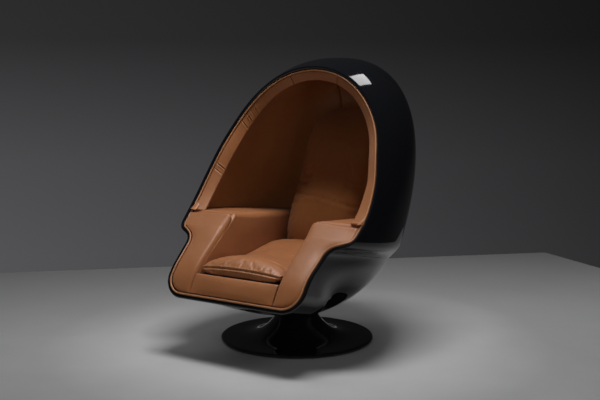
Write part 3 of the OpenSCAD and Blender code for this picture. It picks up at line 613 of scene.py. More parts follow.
class Growth(Tree):
    """A Geometry Nodes tree with named inputs."""

    def __init__(self, name, material, **sizes):
        super().__init__(bpy.data.node_groups.new(name, "GeometryNodeTree"))
        self.material, self.sizes, self.ids = material, sizes, {}
        sockets = self.tree.interface
        sockets.new_socket("Geometry", in_out="INPUT", socket_type="NodeSocketGeometry")
        for label, value in sizes.items():
            kind = "NodeSocketInt" if isinstance(value, int) else "NodeSocketFloat"
            self.ids[label] = sockets.new_socket(label, in_out="INPUT", socket_type=kind).identifier
        sockets.new_socket("Geometry", in_out="OUTPUT", socket_type="NodeSocketGeometry")
        self.inputs = self.tree.nodes.new("NodeGroupInput")

    def given(self, label):
        return Signal(self, self.inputs.outputs[label])

    def line(self):
        return self.add("GeometryNodeMeshToCurve", {}, {"Mesh": self.given("Geometry")})[0]

    def finish(self, geometry):
        for kind, more in (("GeometryNodeRealizeInstances", {}), ("GeometryNodeSetShadeSmooth", {}),
                           ("GeometryNodeSetMaterial", {"Material": self.material})):
            geometry = self.add(kind, {}, {"Geometry": geometry, **more})[0]
        self.set(self.tree.nodes.new("NodeGroupOutput"), 0, geometry)
        return self


def grow(name, growth, points):
    """Runs a tree on a closed line of points and keeps the result as a plain mesh."""
    path = bpy.data.meshes.new(name + "_path")
    count = len(points)
    path.from_pydata([tuple(p) for p in points], [(i, (i + 1) % count) for i in range(count)], [])
    source = add_object(name + "_path", path)
    modifier = source.modifiers.new(name, "NODES")
    modifier.node_group = growth.tree
    for label, value in growth.sizes.items():
        modifier[growth.ids[label]] = value
    graph = bpy.context.evaluated_depsgraph_get()
    mesh = bpy.data.meshes.new_from_object(source.evaluated_get(graph), depsgraph=graph)
    mesh.name = name
    if not mesh.materials:
        mesh.materials.append(growth.material)
    bpy.data.objects.remove(source)
    return add_object(name, mesh)


print("growth helpers ready")

# %% [markdown]
# A welt of leather over cord closes the gap between the shell and the upholstery. It is one
# tube along the whole opening, so a line of points and Curve to Mesh describe it, and a little
# noise in Set Position gives the leather over the cord its uneven skin.
# %% Welt
welt_r, welt_seat, welt_points, welt_sides, welt_unevenness = 0.004, 0.0003, 760, 20, 0.00028


def round_welt():
    growth = Growth("round_welt", piping_leather, radius=welt_r, sides=welt_sides,
                    unevenness=welt_unevenness)
    ring = growth.add("GeometryNodeCurvePrimitiveCircle", {}, {
        "Resolution": growth.given("sides"), "Radius": growth.given("radius")})[0]
    tube = growth.add("GeometryNodeCurveToMesh", {}, {
        "Curve": growth.line(), "Profile Curve": ring, "Fill Caps": True})[0]
    skin = growth.add("ShaderNodeTexNoise", {}, {"Scale": 150.0, "Detail": 3.0})[0]
    height = (skin - 0.5) * growth.given("unevenness")
    normal = growth.add("GeometryNodeInputNormal")[0]
    offset = growth.add("ShaderNodeVectorMath", {"operation": "SCALE"}, {0: normal, "Scale": height})[0]
    return growth.finish(growth.add("GeometryNodeSetPosition", {}, {"Geometry": tube, "Offset": offset})[0])


welt_line = edge_place(np.linspace(-180, 180, welt_points, endpoint=False),
                       shell_wall + rim_spare + welt_r + welt_seat)
settle(grow("welt_piping", round_welt(), welt_line), "pod", "piping", "welt")
welt_length = float(np.linalg.norm(np.roll(welt_line, -1, 0) - welt_line, axis=1).sum())
print("welt", round(welt_length, 2), "m long")

# %% [markdown]
# Padded panels are leather over foam on a thin board. Each one is a face that follows the form,
# rolled back softly along its borders, with a closed back. One helper makes them all: it takes
# the face as a function of two shares, and the radius of the roll along each border. A panel
# for the left side is worked out on the right and mirrored.
# %% Padded panels
roll_steps, roll_limit, border_fade, pad_gap = 7, 0.96, 0.012, 0.0006
slow_scale, fine_scale, fine_share, lip_share = 11, 42, 0.35, 0.35


def cloud(points, scale, seed=0.0):
    spots = (points * scale + seed).reshape(-1, 3)
    return np.array([noise.noise(Vector(p)) for p in spots]).reshape(points.shape[:-1])


def stations(length, near, far, spacing):
    """Shares along a panel, closer together where its borders roll."""
    turn = 1 - np.cos(np.linspace(0, math.pi / 2, roll_steps))
    start, end = near / length * turn, 1 - far / length * turn[::-1]
    inner = np.linspace(start[-1], end[0], max(3, int(length / spacing)))
    return np.concatenate([start[:-1], inner, end[1:]])


def roll_depth(distance, radius):
    e = np.clip(1 - distance / radius, 0, 1)
    return radius * (1 - np.sqrt(1 - e * e))


def twin_grids(nu, nv):
    """Faces of two grids of points, back to back."""
    front = [(i * nv + j, (i + 1) * nv + j, (i + 1) * nv + j + 1, i * nv + j + 1)
             for i in range(nu - 1) for j in range(nv - 1)]
    return front + [tuple(nu * nv + k for k in reversed(f)) for f in front]


def slab_faces(nu, nv):
    """Faces of a front grid, a back grid and the sides between them."""
    size = nu * nv
    down = [(i, i + nv) for j in (0, nv - 1) for i in range(j, size - nv, nv)]
    across = [(i, i + 1) for j in (0, size - nv) for i in range(j, j + nv - 1)]
    return twin_grids(nu, nv) + [(a, b, size + b, size + a) for a, b in down + across]


def panel(node, face, size, thickness, rolls, relief, spacing, lift=None):
    """rolls: radii at u = 0, u = 1, v = 0 and v = 1, the third one a number or a function of u.
    relief: height along the normal, less near the borders. lift: height that reaches them."""
    width, height = size
    first, last, near, far = rolls
    u = stations(width, first, last, spacing)[:, None]
    v = stations(height, near(1) if callable(near) else near, far, spacing)[None, :]
    points, normals = face(u, v)
    u, v = np.broadcast_arrays(u, v)
    distances = (u * width, (1 - u) * width, v * height, (1 - v) * height)
    radii = (first, last, near(u) if callable(near) else near, far)
    depth = np.minimum(sum(map(roll_depth, distances, radii)), thickness * roll_limit)
    depth = depth - np.prod([1 - np.exp(-d / border_fade) for d in distances], 0) * relief(u, v, points)
    if lift:
        depth = depth - lift(u, v)
    grids = np.concatenate([points - depth[..., None] * normals, points - thickness * normals])
    side = -1 if node.endswith("left") else 1
    piece = new_object(node + "_leather", grids * [side, 1, 1], slab_faces(*u.shape), leather)
    return settle(piece, "pod", "leather", node)


def soft(swell, ripple, seed=0.0, more=None):
    """The relief of every pad: a swollen middle, a slow unevenness, and perhaps something more."""
    def relief(u, v, points):
        full = (1 - (2 * u - 1) ** 4) * (1 - (2 * v - 1) ** 4)
        slow, fine = cloud(points, slow_scale, seed), cloud(points, fine_scale, seed)
        height = swell * full + ripple * slow + ripple * fine_share * fine
        return height + more(u, v) if more else height
    return relief


def pinch(distance, depth, half):
    """A crease: a narrow valley with a low lip on each side."""
    d = distance / half
    return -depth * np.exp(-d * d) + lip_share * depth * np.exp(-((np.abs(d) - 2) ** 2))


print("panel helper ready")

# %% [markdown]
# Three bands face the edge of the opening: a short one over the crown and a long one down each
# side to the arms. They widen down the sides, and at their feet the inner edge turns forward
# over the arm. On the real chair they are pulled round a bend, so the leather of one gathers
# into small creases where the bend is tightest, and the other ends in a folded hem.
# %% Facing bands
band_width, band_thickness, band_narrow, band_wide = 0.042, 0.014, 0.002, 0.011
band_lean, left_lift, right_lift, lift_angle, lift_turn = 0.004, 0.016, 0.026, 70, 25
widen_angle, widen_turn = 20, 35
crown_seam_angle, crown_gap_angle, crown_run, band_run = 12.4, 0.22, 0.27, 0.93
band_end_r, left_end_r, band_outer_r, band_inner_r = 0.003, 0.004, 0.0035, 0.005
crown_spacing, band_spacing = 0.003, 0.0022
leather_inset = shell_wall + rim_spare + 2 * welt_r + 0.0020
arm_top_z, arm_fall = 0.586, 4.5
arm_slope, arm_front_y = math.tan(math.radians(arm_fall)), float(opening_y(np.array(arm_top_z)))
arm_angle = edge_meets(arm_top_z, arm_front_y, arm_slope)
gathers = {36: 0.0055, 38.5: 0.0030, 41: 0.0065, 45: 0.0035, 68.5: 0.0055, 71.5: 0.0025}
gather_skew, gather_run, gather_half = 2.2, 0.0105, 0.0030
hem_run, hem_rise = 0.015, 0.005


def arm_top(y):
    return arm_top_z - arm_slope * (y - arm_front_y)


def band_place(angle, v, lift):
    side = np.clip((np.abs(angle) - widen_angle) / widen_turn, 0, 1)
    inset = leather_inset + (band_width + mix(band_narrow, band_wide, side)) * v
    p, n, forward = edge_frame(angle)
    turn = lift * np.clip((np.abs(angle) - lift_angle) / lift_turn, 0, 1) - band_lean * side
    return p - inset[..., None] * n + (turn * v)[..., None] * forward, forward


def crown_face(u, v):
    return band_place(mix(-crown_seam_angle, crown_seam_angle, u), v + 0 * u, 0.0)


def band_face(lift):
    """The face of a side band, whose foot ends on the arm's top."""
    def face(u, v):
        def over(angle):
            p = band_place(angle, v, lift)[0]
            return arm_top(p[..., 1]) + pad_gap - p[..., 2]
        end = crossing(over, (1,) + v.shape[1:], 120.0)
        return band_place(mix(crown_seam_angle + crown_gap_angle, end, u), v + 0 * u, lift)
    return face


def gathered(u, v):
    angle = mix(crown_seam_angle, arm_angle, u) - gather_skew * (v - 0.5)
    return sum(pinch((angle - at) * gather_run, deep, gather_half) for at, deep in gathers.items())


def hem(u, v):
    share = np.clip((1 - u) * band_run / hem_run, 0, 1)
    return hem_rise * np.sqrt(share * (1 - share)) * 2


band_reach = band_width + band_wide
band_rolls = (band_end_r, band_end_r, band_outer_r, band_inner_r)
band_top = panel("band_top", crown_face, (crown_run, band_reach), band_thickness, band_rolls,
                 soft(0.0026, 0.0005), crown_spacing)
band_right = panel("band_right", band_face(right_lift), (band_run, band_reach), band_thickness, band_rolls,
                   soft(0.0026, 0.0006, 3.0), band_spacing, hem)
band_left = panel("band_left", band_face(left_lift), (band_run, band_reach), band_thickness,
                  (band_end_r, left_end_r, band_outer_r, band_inner_r),
                  soft(0.0026, 0.0005, 7.0, gathered), band_spacing)
print("bands:", [len(p.data.polygons) for p in (band_top, band_right, band_left)], "faces")

# %% [markdown]
# Behind the bands the shell is lined with wide padded panels: one on each side, and a narrow
# gore over the crown and down behind the sitter. Their faces are the shell's own meridians,
# moved inwards by the board and the foam.
# %% Liners
liner_depth, liner_thickness, liner_spacing = 0.040, 0.022, 0.007
seam_r, edge_r, split_r, foot_r = 0.007, 0.003, 0.004, 0.008
gore_share, roof_share = 0.075, 0.53
band_back = band_thickness + 4 * pad_gap
liner_angle = edge_meets(arm_top_z + 2 * band_width, arm_front_y, arm_slope)
arm_end = edge_point(arm_angle)
liner_turn = math.degrees(math.atan2(arm_end[1] - band_back, arm_end[0]))


def liner_face(first, last, top, bottom):
    def face(u, v):
        t = mix(first, last, closing(u) if last == 1 else u)
        side = np.sign(t) + (t == 0)
        t, w = np.abs(t), mix(top, bottom, v)
        start = on_shell(unit(edge_place(liner_angle * t, 0.0, band_back) - core))
        foot = level_point(np.full(t.shape, arm_top_z + pad_gap), arm_front_y, arm_slope,
                           mix(90.0, liner_turn, t))
        outer = meridian(start, foot, w + 0 * t)
        n = pod_normal(outer)
        p = outer - liner_depth * n
        if bottom == 1:
            p[..., 2] += (arm_top(p[:, -1:, 1]) + pad_gap - p[:, -1:, 2]) * v**6
        flip = np.stack([side, np.ones_like(side), np.ones_like(side)], -1)
        return p * flip, -n * flip
    return face


side_run, roof_run, back_run = (0.80, 0.85), (0.24, 0.60), (0.24, 0.50)
side_rolls, side_relief = (seam_r, edge_r, edge_r, foot_r), soft(0.002, 0.0016, 11.0)
for node, reach, size, rolls, relief in (
        ("side_liner_right", (gore_share, 1, 0, 1), side_run, side_rolls, side_relief),
        ("side_liner_left", (gore_share, 1, 0, 1), side_run, side_rolls, side_relief),
        ("roof_liner", (-gore_share, gore_share, 0, roof_share), roof_run,
         (seam_r, seam_r, edge_r, split_r), soft(0.003, 0.0012, 17.0)),
        ("back_liner", (-gore_share, gore_share, roof_share, 1), back_run,
         (split_r, split_r, split_r, foot_r), soft(0.003, 0.0012, 19.0))):
    liner = panel(node, liner_face(*reach), size, liner_thickness, rolls, relief, liner_spacing)
    print(node, len(liner.data.polygons), "faces")

# %% [markdown]
# The arms are foam blocks between the seat and the shell, with a rounded inner edge. Their
# leather is one wrapped sheet, so each arm is made of rings that go up the inner face, over the
# edge, across the top and down the hidden side.
# %% Arms
seat_half_width, back_half_width = 0.216, 0.198
deck_top_z, panel_thickness, panel_sink = 0.284, 0.025, 0.001
arm_foot_y, arm_back_y, back_foot_y, arm_setback = 0.150, 0.330, 0.152, 0.011
arm_front_r, arm_soft_r, arm_overlap, arm_rings = 0.018, 0.032, 0.0017, 100
arm_levels, arm_turns, arm_widths, arm_hidden = 46, 16, 34, 14
arm_face_swell, arm_top_swell, arm_run, arm_end_r = 0.0035, 0.0030, 0.8, 0.006
arm_r_run, arm_r_bend, arm_hidden_fall = 0.25, 0.7, 0.15
arm_unevenness = ((0.0013, 9, 23.0), (0.0005, 38, 5.0))
outer_checks = np.array([-0.020, -0.010, 0.0, 0.010, 0.020])


def panel_y(z):
    return opening_y(z) + panel_sink


def panel_back(z):
    return panel_y(z) + panel_thickness + 2 * pad_gap


def arm_inner(y):
    share = np.clip((y - arm_front_y) / (back_foot_y - arm_front_y), 0, 1)
    return seat_half_width - (seat_half_width - back_half_width) * share


def arm_outer(y, z):
    """The arm's hidden side keeps clear of the shell at heights above and below, too."""
    reach = [crossing(lambda x: pod_gap(np.stack([x, y, z + d], -1)), y.shape) for d in outer_checks]
    return np.min(reach, 0) - shell_wall - arm_setback


def chain(*parts):
    """One value for every point of a ring, from a value or a row for each of its four stretches."""
    lengths = (arm_levels, arm_turns, arm_widths, arm_hidden)
    return np.concatenate([np.full(n, p) if np.isscalar(p) else p for n, p in zip(lengths, parts)])


def arm_points():
    up, turn, across, down = (np.linspace(0, 1, n) for n in (arm_levels, arm_turns, arm_widths, arm_hidden))
    level, side = chain(up, 1.0, 1.0, 1 - down), chain(0.0, 0.0, across, 1.0)
    fall = chain(1.0, 1 - np.sin(math.pi / 2 * turn), 0.0, arm_hidden_fall)
    inset = chain(0.0, 1 - np.cos(math.pi / 2 * turn), 1 - across, 0.0)
    face, top = chain(1 - (2 * up - 1) ** 4, 0.0, 0.0, 0.0), chain(0.0, 0.0, 4 * across * (1 - across), 0.0)
    step = np.linspace(0, 1, arm_rings)[:, None]
    soft_r = mix(arm_front_r, arm_soft_r, np.clip(step / arm_r_run, 0, 1) ** arm_r_bend)
    low = deck_top_z + pad_gap / 2
    front = panel_back(mix(low, arm_top_z, level)) - chain(arm_overlap, arm_overlap, 0.0, 0.0)
    y = mix(front[None, :], mix(arm_foot_y, arm_back_y, level)[None, :], step)
    z = mix(low, arm_top(y) - soft_r * fall, level[None, :])
    x = mix(arm_inner(y) + soft_r * inset, arm_outer(y, z), side[None, :])
    points = np.stack([x, y, z], -1)
    ends = 1 - (2 * step - 1) ** 6
    uneven = sum(height * cloud(points, scale, seed) for height, scale, seed in arm_unevenness)
    points[..., 0] -= (arm_face_swell + uneven) * face * ends
    points[..., 2] += (arm_top_swell + uneven) * top * ends
    points[..., 2] -= roll_depth(step * arm_run, arm_end_r) * chain(0.0, turn**2, 1.0, 0.0)
    return points


arm_grid = arm_points()
for node, side in (("arm_right", 1), ("arm_left", -1)):
    arm = new_object(node + "_leather", arm_grid * [side, 1, 1], ring_faces(*arm_grid.shape[:2]), leather)
    settle(arm, "pod", "leather", node)
print("arms:", len(arm.data.polygons), "faces each")

# %% [markdown]
# The front panels lie in the ruled surface of the opening, between the welt and the arm's inner
# face, and turn the corner with a broad soft roll. The apron closes the front below the seat.
# %% Arm fronts and apron
platform_top, apron_rise = deck_top_z + 0.068, 0.007
notch_angle, notch_turn, notch_tuck, front_start = 106.5, 4, 0.008, 0.15
front_size, apron_height, front_spacing, apron_spacing = (0.36, 0.20), 0.082, 0.005, 0.004
front_top_r, front_foot_r, corner_r, corner_more_r, corner_share = 0.0045, 0.010, 0.016, 0.0065, 0.10
right_outer_r, left_outer_r, right_sink = 0.0125, 0.006, 0.008
panel_swell = 0.005
panel_end = turning_point(lambda p: p[0] > seat_half_width + jaw_corner_r / 2, 90.0, 180.0)


def ruled(x, z):
    """Places in the opening's surface, a little behind the shell's edge, and their normals."""
    slope = (panel_y(z + small_step) - panel_y(z - small_step)) / (2 * small_step)
    return np.stack([x, panel_y(z), z], -1), unit(np.stack([0 * x, -np.ones_like(z), slope], -1))


def front_face(u, v):
    """u runs down the panel and v across it, from the arm's inner face to the welt. At the notch
    the outer border tucks in behind the welt."""
    angle = mix(arm_angle + front_start, panel_end, u)
    tuck = notch_tuck * np.exp(-((angle - notch_angle) / notch_turn) ** 2)
    edge = edge_place(angle, (leather_inset - tuck)[..., None])
    edge_x, edge_z = edge[..., 0], edge[..., 2]
    top, foot = edge_z[0], edge_z[-1]
    share = (top - edge_z) / (top - foot)
    x = mix(seat_half_width, edge_x, v)
    z = mix(mix(arm_top_z - pad_gap, foot, share), edge_z, v)
    return ruled(x, z - (1 - share) * roll_depth(x - seat_half_width, arm_front_r))


def corner_roll(u):
    return corner_r + corner_more_r * np.clip(u / corner_share, 0, 1)


def apron_face(u, v):
    foot = edge_place(180.0, leather_inset)[2]
    x = (seat_half_width - pad_gap) * (2 * u - 1)
    z = mix(foot, platform_top + apron_rise, v)
    return ruled(x + 0 * z, z + 0 * x)


panel("arm_front_right", front_face, front_size, panel_thickness,
      (front_top_r, front_foot_r, corner_roll, right_outer_r),
      soft(panel_swell, 0.0008, 29.0, lambda u, v: -right_sink * v**4), front_spacing)
panel("arm_front_left", front_face, front_size, panel_thickness,
      (front_top_r, front_foot_r, corner_roll, left_outer_r), soft(panel_swell, 0.0008, 31.0), front_spacing)
apron = panel("apron", apron_face, (2 * seat_half_width, apron_height), panel_thickness,
              (left_outer_r, left_outer_r, edge_r, seam_r), soft(panel_swell, 0.0007, 37.0), apron_spacing)
print("apron:", len(apron.data.polygons), "faces")

# %% [markdown]
# Cushions start as a formula: two panels of leather that meet in a seam round the widest line.
# The columns and rows stand closer together near the seam, where the leather turns most.
# %% Pillows
pad_columns, pad_rows, seam_step = 84, 72, 0.002


def pad_station(n):
    return np.sin(math.pi / 2 * np.linspace(-1, 1, n))


def crown(a, b, across, along):
    return np.sqrt(np.maximum(0, (1 - np.abs(a) ** across) * (1 - np.abs(b) ** along)))


def pillow(name, top, bottom):
    """Two grids of points that share their border."""
    points = np.concatenate([top.reshape(-1, 3), bottom.reshape(-1, 3)])
    return new_object(name, points, twin_grids(*top.shape[:2]), leather)


def run_along(line):
    return np.concatenate([[0], np.cumsum(np.linalg.norm(np.diff(line, axis=0), axis=1))])


def evenly(line):
    line = np.asarray(line, float)
    run = run_along(line)
    at = np.linspace(0, run[-1], max(2, int(run[-1] / seam_step)))
    return np.stack([np.interp(at, run, line[:, k]) for k in range(3)], -1)


def border(grid):
    """The seam of a pillow: its closed border as evenly spaced points."""
    return evenly(np.concatenate([grid[:, 0], grid[-1, 1:], grid[-2::-1, -1], grid[0, -2::-1]]))


print("pillows of", pad_columns, "by", pad_rows, "points on each face")

# %% [markdown]
# Then the pillow is blown up as cloth. The seam is held, the leather is cut a little larger than
# the pad and so it buckles, and no point may travel further than a cap.
# %% Blown up as cloth
cloth_voxel, cloth_pressure, cloth_frames, cloth_excess, sewn_width = 0.006, 4.0, 20, 0.012, 0.008


def read(store, what):
    flat = np.empty(len(store) * 3)
    store.foreach_get(what, flat)
    return flat.reshape(-1, 3)


def write(piece, points):
    piece.data.vertices.foreach_set("co", np.ascontiguousarray(points).ravel())
    piece.data.update()


def bake(piece):
    """Applies a piece's modifiers to its mesh."""
    graph = bpy.context.evaluated_depsgraph_get()
    mesh = bpy.data.meshes.new_from_object(piece.evaluated_get(graph), depsgraph=graph)
    piece.modifiers.clear()
    piece.data = mesh


def search_tree(points):
    tree = KDTree(len(points))
    for i, p in enumerate(points):
        tree.insert(p, i)
    tree.balance()
    return tree


def near_line(points, line):
    """Distance to a line of points and how far along it, in metres."""
    tree = search_tree(line)
    found = [tree.find(p)[1:] for p in points]
    return np.array([f[1] for f in found]), run_along(line)[[f[0] for f in found]]


def swell(piece, seam, cap, limit):
    """Remeshes a pillow, blows it up as cloth and keeps it inside its limits."""
    remesh = piece.modifiers.new("remesh", "REMESH")
    remesh.mode, remesh.voxel_size, remesh.use_smooth_shade = "VOXEL", cloth_voxel, True
    bake(piece)
    rest = read(piece.data.vertices, "co")
    sewn = piece.vertex_groups.new(name="sewn")
    sewn.add([int(i) for i in np.flatnonzero(near_line(rest, seam)[0] < sewn_width)], 1.0, "REPLACE")
    cloth = piece.modifiers.new("cloth", "CLOTH").settings
    cloth.use_pressure, cloth.uniform_pressure_force = True, cloth_pressure
    cloth.vertex_group_mass, cloth.shrink_min = "sewn", -cloth_excess
    cloth.effector_weights.gravity = 0
    for step in range(1, cloth_frames + 1):
        bpy.context.scene.frame_set(step)
    bake(piece)
    travel = read(piece.data.vertices, "co") - rest
    far = np.linalg.norm(travel, axis=1, keepdims=True)
    write(piece, limit(rest + travel * np.minimum(1, cap / np.maximum(far, 1e-9))))
    bpy.context.scene.frame_set(1)
    finer = piece.modifiers.new("finer", "SUBSURF")
    finer.levels = finer.render_levels = 1
    bake(piece)
    print(piece.name, "travelled up to", round(1000 * float(far.max())), "mm")


print("cloth voxels of", 1000 * cloth_voxel, "mm")

# %% [markdown]
# Voxels wipe out anything narrower than themselves, so the seam and the creases are pressed in
# afterwards, and the stitches, which are beads of thread set out along the seam, come last.
# %% Seams, creases and stitches
stitch_pitch, stitch_length, stitch_thick, seam_depth = 0.0052, 0.0016, 0.0004, 0.0035
pucker_pitch, wander_scale, wander_seed, wander_turn, least_pucker = 0.016, 30, 900, 5, 0.6


def press(piece, line, depth, half, pucker=0.0, lip=lip_share, fade=0.0):
    """Presses a seam or crease in along a line, with low lips and puckers beside it."""
    points, normals = read(piece.data.vertices, "co"), read(piece.data.vertex_normals, "vector")
    far, run = near_line(points, line)
    d = far / half
    wander = np.array([noise.noise(Vector((r * wander_scale, depth * wander_seed, 0))) for r in run])
    wave = np.cos(2 * math.pi * run / pucker_pitch + wander_turn * wander) * (least_pucker + wander)
    depth = depth * (1 - fade * run / run.max())
    height = (-depth * np.exp(-d * d) + lip * depth * np.exp(-((d - 2) ** 2))
              + pucker * wave * d * np.exp(-d / 2))
    write(piece, points + normals * height[:, None])


def stitching():
    """Short stitches of thread along a line."""
    growth = Growth("stitching", thread, pitch=stitch_pitch, length=stitch_length, thick=stitch_thick)
    spots = growth.add("GeometryNodeCurveToPoints", {"mode": "LENGTH"}, {
        "Curve": growth.line(), "Length": growth.given("pitch")})
    bead = growth.add("GeometryNodeMeshUVSphere", {}, {"Segments": 6, "Rings": 4, "Radius": 1.0})[0]
    thick = growth.given("thick")
    size = growth.add("ShaderNodeCombineXYZ", {}, {"X": thick, "Y": thick, "Z": growth.given("length")})[0]
    return growth.finish(growth.add("GeometryNodeInstanceOnPoints", {}, {
        "Points": spots[0], "Instance": bead, "Rotation": spots[3], "Scale": size})[0])


def cushion(node, grids, cap, limit, seam_half, pucker, creases, lip, fade, fill):
    """Makes a pillow, blows it up, presses its seam and creases in and stitches it."""
    seam = border(grids[0])
    piece = pillow(node + "_leather", *grids)
    swell(piece, seam, cap, limit)
    press(piece, seam, seam_depth, seam_half, pucker)
    for line, depth, half in creases:
        press(piece, line, depth, half, lip=lip, fade=fade)
    settle(piece, "pod", "leather", node, fill=fill)
    settle(grow(node + "_stitches", stitching(), seam), "pod", "piping")
    print(node, len(piece.data.polygons), "faces")
    return piece


print("a stitch every", 1000 * stitch_pitch, "mm")

# %% [markdown]
# The seat cushion is a loose pad that fills the well between the arms. Its seam arches up in the
# middle of the front, and along the sides it dips and then climbs to the back. At the front the
# lower panel bulges forward over the apron. Rows of shares say how high the seam and the crown
# stand from front to back.
# %% Seat cushion
seat_seam_rise, seat_crown, seat_sink, seat_waist, seat_corner = 0.026, 0.045, 0.002, 0.005, 0.12
seat_rear_rise, seat_arch, seat_bulge, seat_cap = 0.042, 0.012, 0.036, 0.010
seat_seam_shares = np.array([0, -0.05, -0.15, -0.2, -0.05, 0.25, 0.6, 0.9, 1])
seat_crown_shares = np.array([1, 1, 0.92, 0.82, 0.74, 0.64, 0.53, 0.42, 0.34])
seat_floor_back, seat_floor_step, seat_seam_half, seat_pucker = 0.012, 0.010, 0.0040, 0.0016
seat_crease_half, seat_lip, seat_fade = 0.010, 0.2, 0.0
seat_creases = ((17, 22, 78, 0.0035), (15, 8, 40, 0.0022), (22, 50, 80, 0.0018))
well_floor = platform_top + pad_gap / 2


def seat_floor(y):
    """The lowest the cushion may reach: the platform, or the apron's top in front of it."""
    apron_back = float(panel_back(np.array(platform_top))) + seat_floor_back
    return well_floor + (apron_rise + pad_gap) * np.clip((apron_back - y) / seat_floor_step, 0, 1)


def seat_cushion_points():
    a, b = pad_station(pad_columns)[:, None], pad_station(pad_rows)[None, :]
    front_y = float(panel_y(np.array(platform_top + seat_seam_rise))) + seat_sink
    rear_y = back_foot_y - pad_gap
    y = (front_y + rear_y) / 2 + (rear_y - front_y) / 2 * b * np.sqrt(1 - seat_corner * a**6 / 2)
    half = arm_inner(y) - 2 * pad_gap - seat_waist * (1 - b * b) * a**8
    x = a * np.sqrt(1 - seat_corner * b**6 / 2) * half
    seam = (platform_top + seat_seam_rise + seat_rear_rise * curve(seat_seam_shares, (b + 1) / 2)
            + seat_arch * (1 - a * a) * np.maximum(0, -b) ** 4)
    top = seam + seat_crown * curve(seat_crown_shares, (b + 1) / 2) * crown(a, b, 2.8, 8)
    full = crown(a, b, 12, 20)
    low = mix(seam, well_floor, full)
    ahead = seat_bulge * full * np.clip((-b - 0.7) / 0.27, 0, 1) ** 1.5 * (1 - a**8)
    low = np.maximum(low + 0 * x, seat_floor(y - ahead))
    return np.stack([x, y, top + 0 * x], -1), np.stack([x, y - ahead, low], -1)


def seat_limit(points):
    """Between the arms, on the platform and in front of the back cushion."""
    half = arm_inner(points[:, 1]) - pad_gap
    return np.stack([np.clip(points[:, 0], -half, half), np.minimum(points[:, 1], back_foot_y - pad_gap / 2),
                     np.maximum(points[:, 2], seat_floor(points[:, 1]))], -1)


seat_top, seat_low = seat_cushion_points()
seat_lines = [(evenly(seat_top[first:last, row]), depth, seat_crease_half)
              for row, first, last, depth in seat_creases]
cushion("seat_cushion", (seat_top, seat_low), seat_cap, seat_limit, seat_seam_half, seat_pucker,
        seat_lines, seat_lip, seat_fade, seat_fill)

# %% [markdown]
# The back cushion stands on the same platform and leans on a foam block. Its face follows a
# line of shares from the seat to the head, its rear follows the lining, and where the sitter's
# back folds it, the leather keeps a few soft creases, given by their places on the face.
# %% Back cushion
liner_seat, back_fit, back_turn = 0.008, 0.005, 0.35
back_top_z, back_reach, back_crown, back_cap = 1.042, 0.383, 0.018, 0.012
back_front_shares = np.array([0, 0.04, 0.085, 0.18, 0.34, 0.42, 0.52, 0.69, 1])
back_block_shares = np.array([0.5, 0.6, 0.8, 0.95, 1, 0.98, 0.85, 0.55, 0.1])
back_block_max, back_seam, back_corner, back_more_rows = 0.076, 0.45, 0.4, 30
back_seam_half, back_pucker, back_lip, back_fade = 0.0045, 0.0018, 0.3, 0.65
back_creases = (
    (((-0.190, 0.688), (-0.080, 0.694), (0.060, 0.689), (0.181, 0.683)), 0.0085, 0.010),
    (((-0.190, 0.650), (-0.110, 0.636), (0.000, 0.624), (0.190, 0.594)), 0.0080, 0.010),
    (((-0.190, 0.668), (-0.130, 0.655), (-0.060, 0.650)), 0.0045, 0.008),
    (((-0.185, 0.600), (-0.120, 0.592), (-0.050, 0.600)), 0.0025, 0.009),
    (((-0.180, 0.735), (-0.120, 0.728), (-0.040, 0.738)), 0.0020, 0.010))


def back_level(z):
    return (z - platform_top) / (back_top_z - platform_top)


def back_rear(x, z):
    y = crossing(lambda y: pod_gap(np.stack([x, y, z], -1)), x.shape)
    n = pod_normal(np.stack([x, y, z], -1))
    wall = shell_wall + liner_seat + liner_thickness + back_fit
    lined = y - wall / np.maximum(n[..., 1], back_turn)
    return lined - back_block_max * np.maximum(0, curve(back_block_shares, back_level(z)))


def back_front(z):
    return back_foot_y + back_reach * curve(back_front_shares, back_level(z))


def back_cushion_points():
    a, b = pad_station(pad_columns)[:, None], pad_station(pad_rows + back_more_rows)[None, :]
    high = b > 0
    x = a * (back_half_width - pad_gap) * np.sqrt(1 - np.where(high, back_corner, seat_corner) * b**6 / 2)
    z = mix(well_floor, back_top_z, (1 + b * np.sqrt(1 - np.where(high, back_corner, 0) * a**6 / 2)) / 2)
    seam = mix(back_front(z), back_rear(np.full(z.shape, back_half_width), z), back_seam)
    k = crown(a, b, 6, 10)
    front = mix(seam, back_front(z) - back_crown * k, k)
    rear = mix(seam, back_rear(x, z) - pad_gap, crown(a, b, 8, 12))
    return np.stack([x, front, z], -1), np.stack([x, rear, z], -1)


def back_limit(points):
    """Between the arms, on the platform and clear of the block behind."""
    half = back_half_width - pad_gap / 2
    x, z = np.clip(points[:, 0], -half, half), np.maximum(points[:, 2], well_floor)
    return np.stack([x, np.minimum(points[:, 1], back_rear(x, np.minimum(z, back_top_z))), z], -1)


def on_back(spots):
    """A line across the back cushion's face through places given as x and z."""
    x, z = evenly([(x, 0, z) for x, z in spots])[:, [0, 2]].T
    face = back_face.reshape(-1, 3)
    tree = search_tree(face * [1, 0, 1])
    return np.array([(a, face[tree.find((a, 0, b))[1], 1], b) for a, b in zip(x, z)])


back_face, back_under = back_cushion_points()
back_lines = [(on_back(spots), depth, half) for spots, depth, half in back_creases]
back_cushion = cushion("back_cushion", (back_face, back_under), back_cap, back_limit, back_seam_half,
                       back_pucker, back_lines, back_lip, back_fade, back_fill)

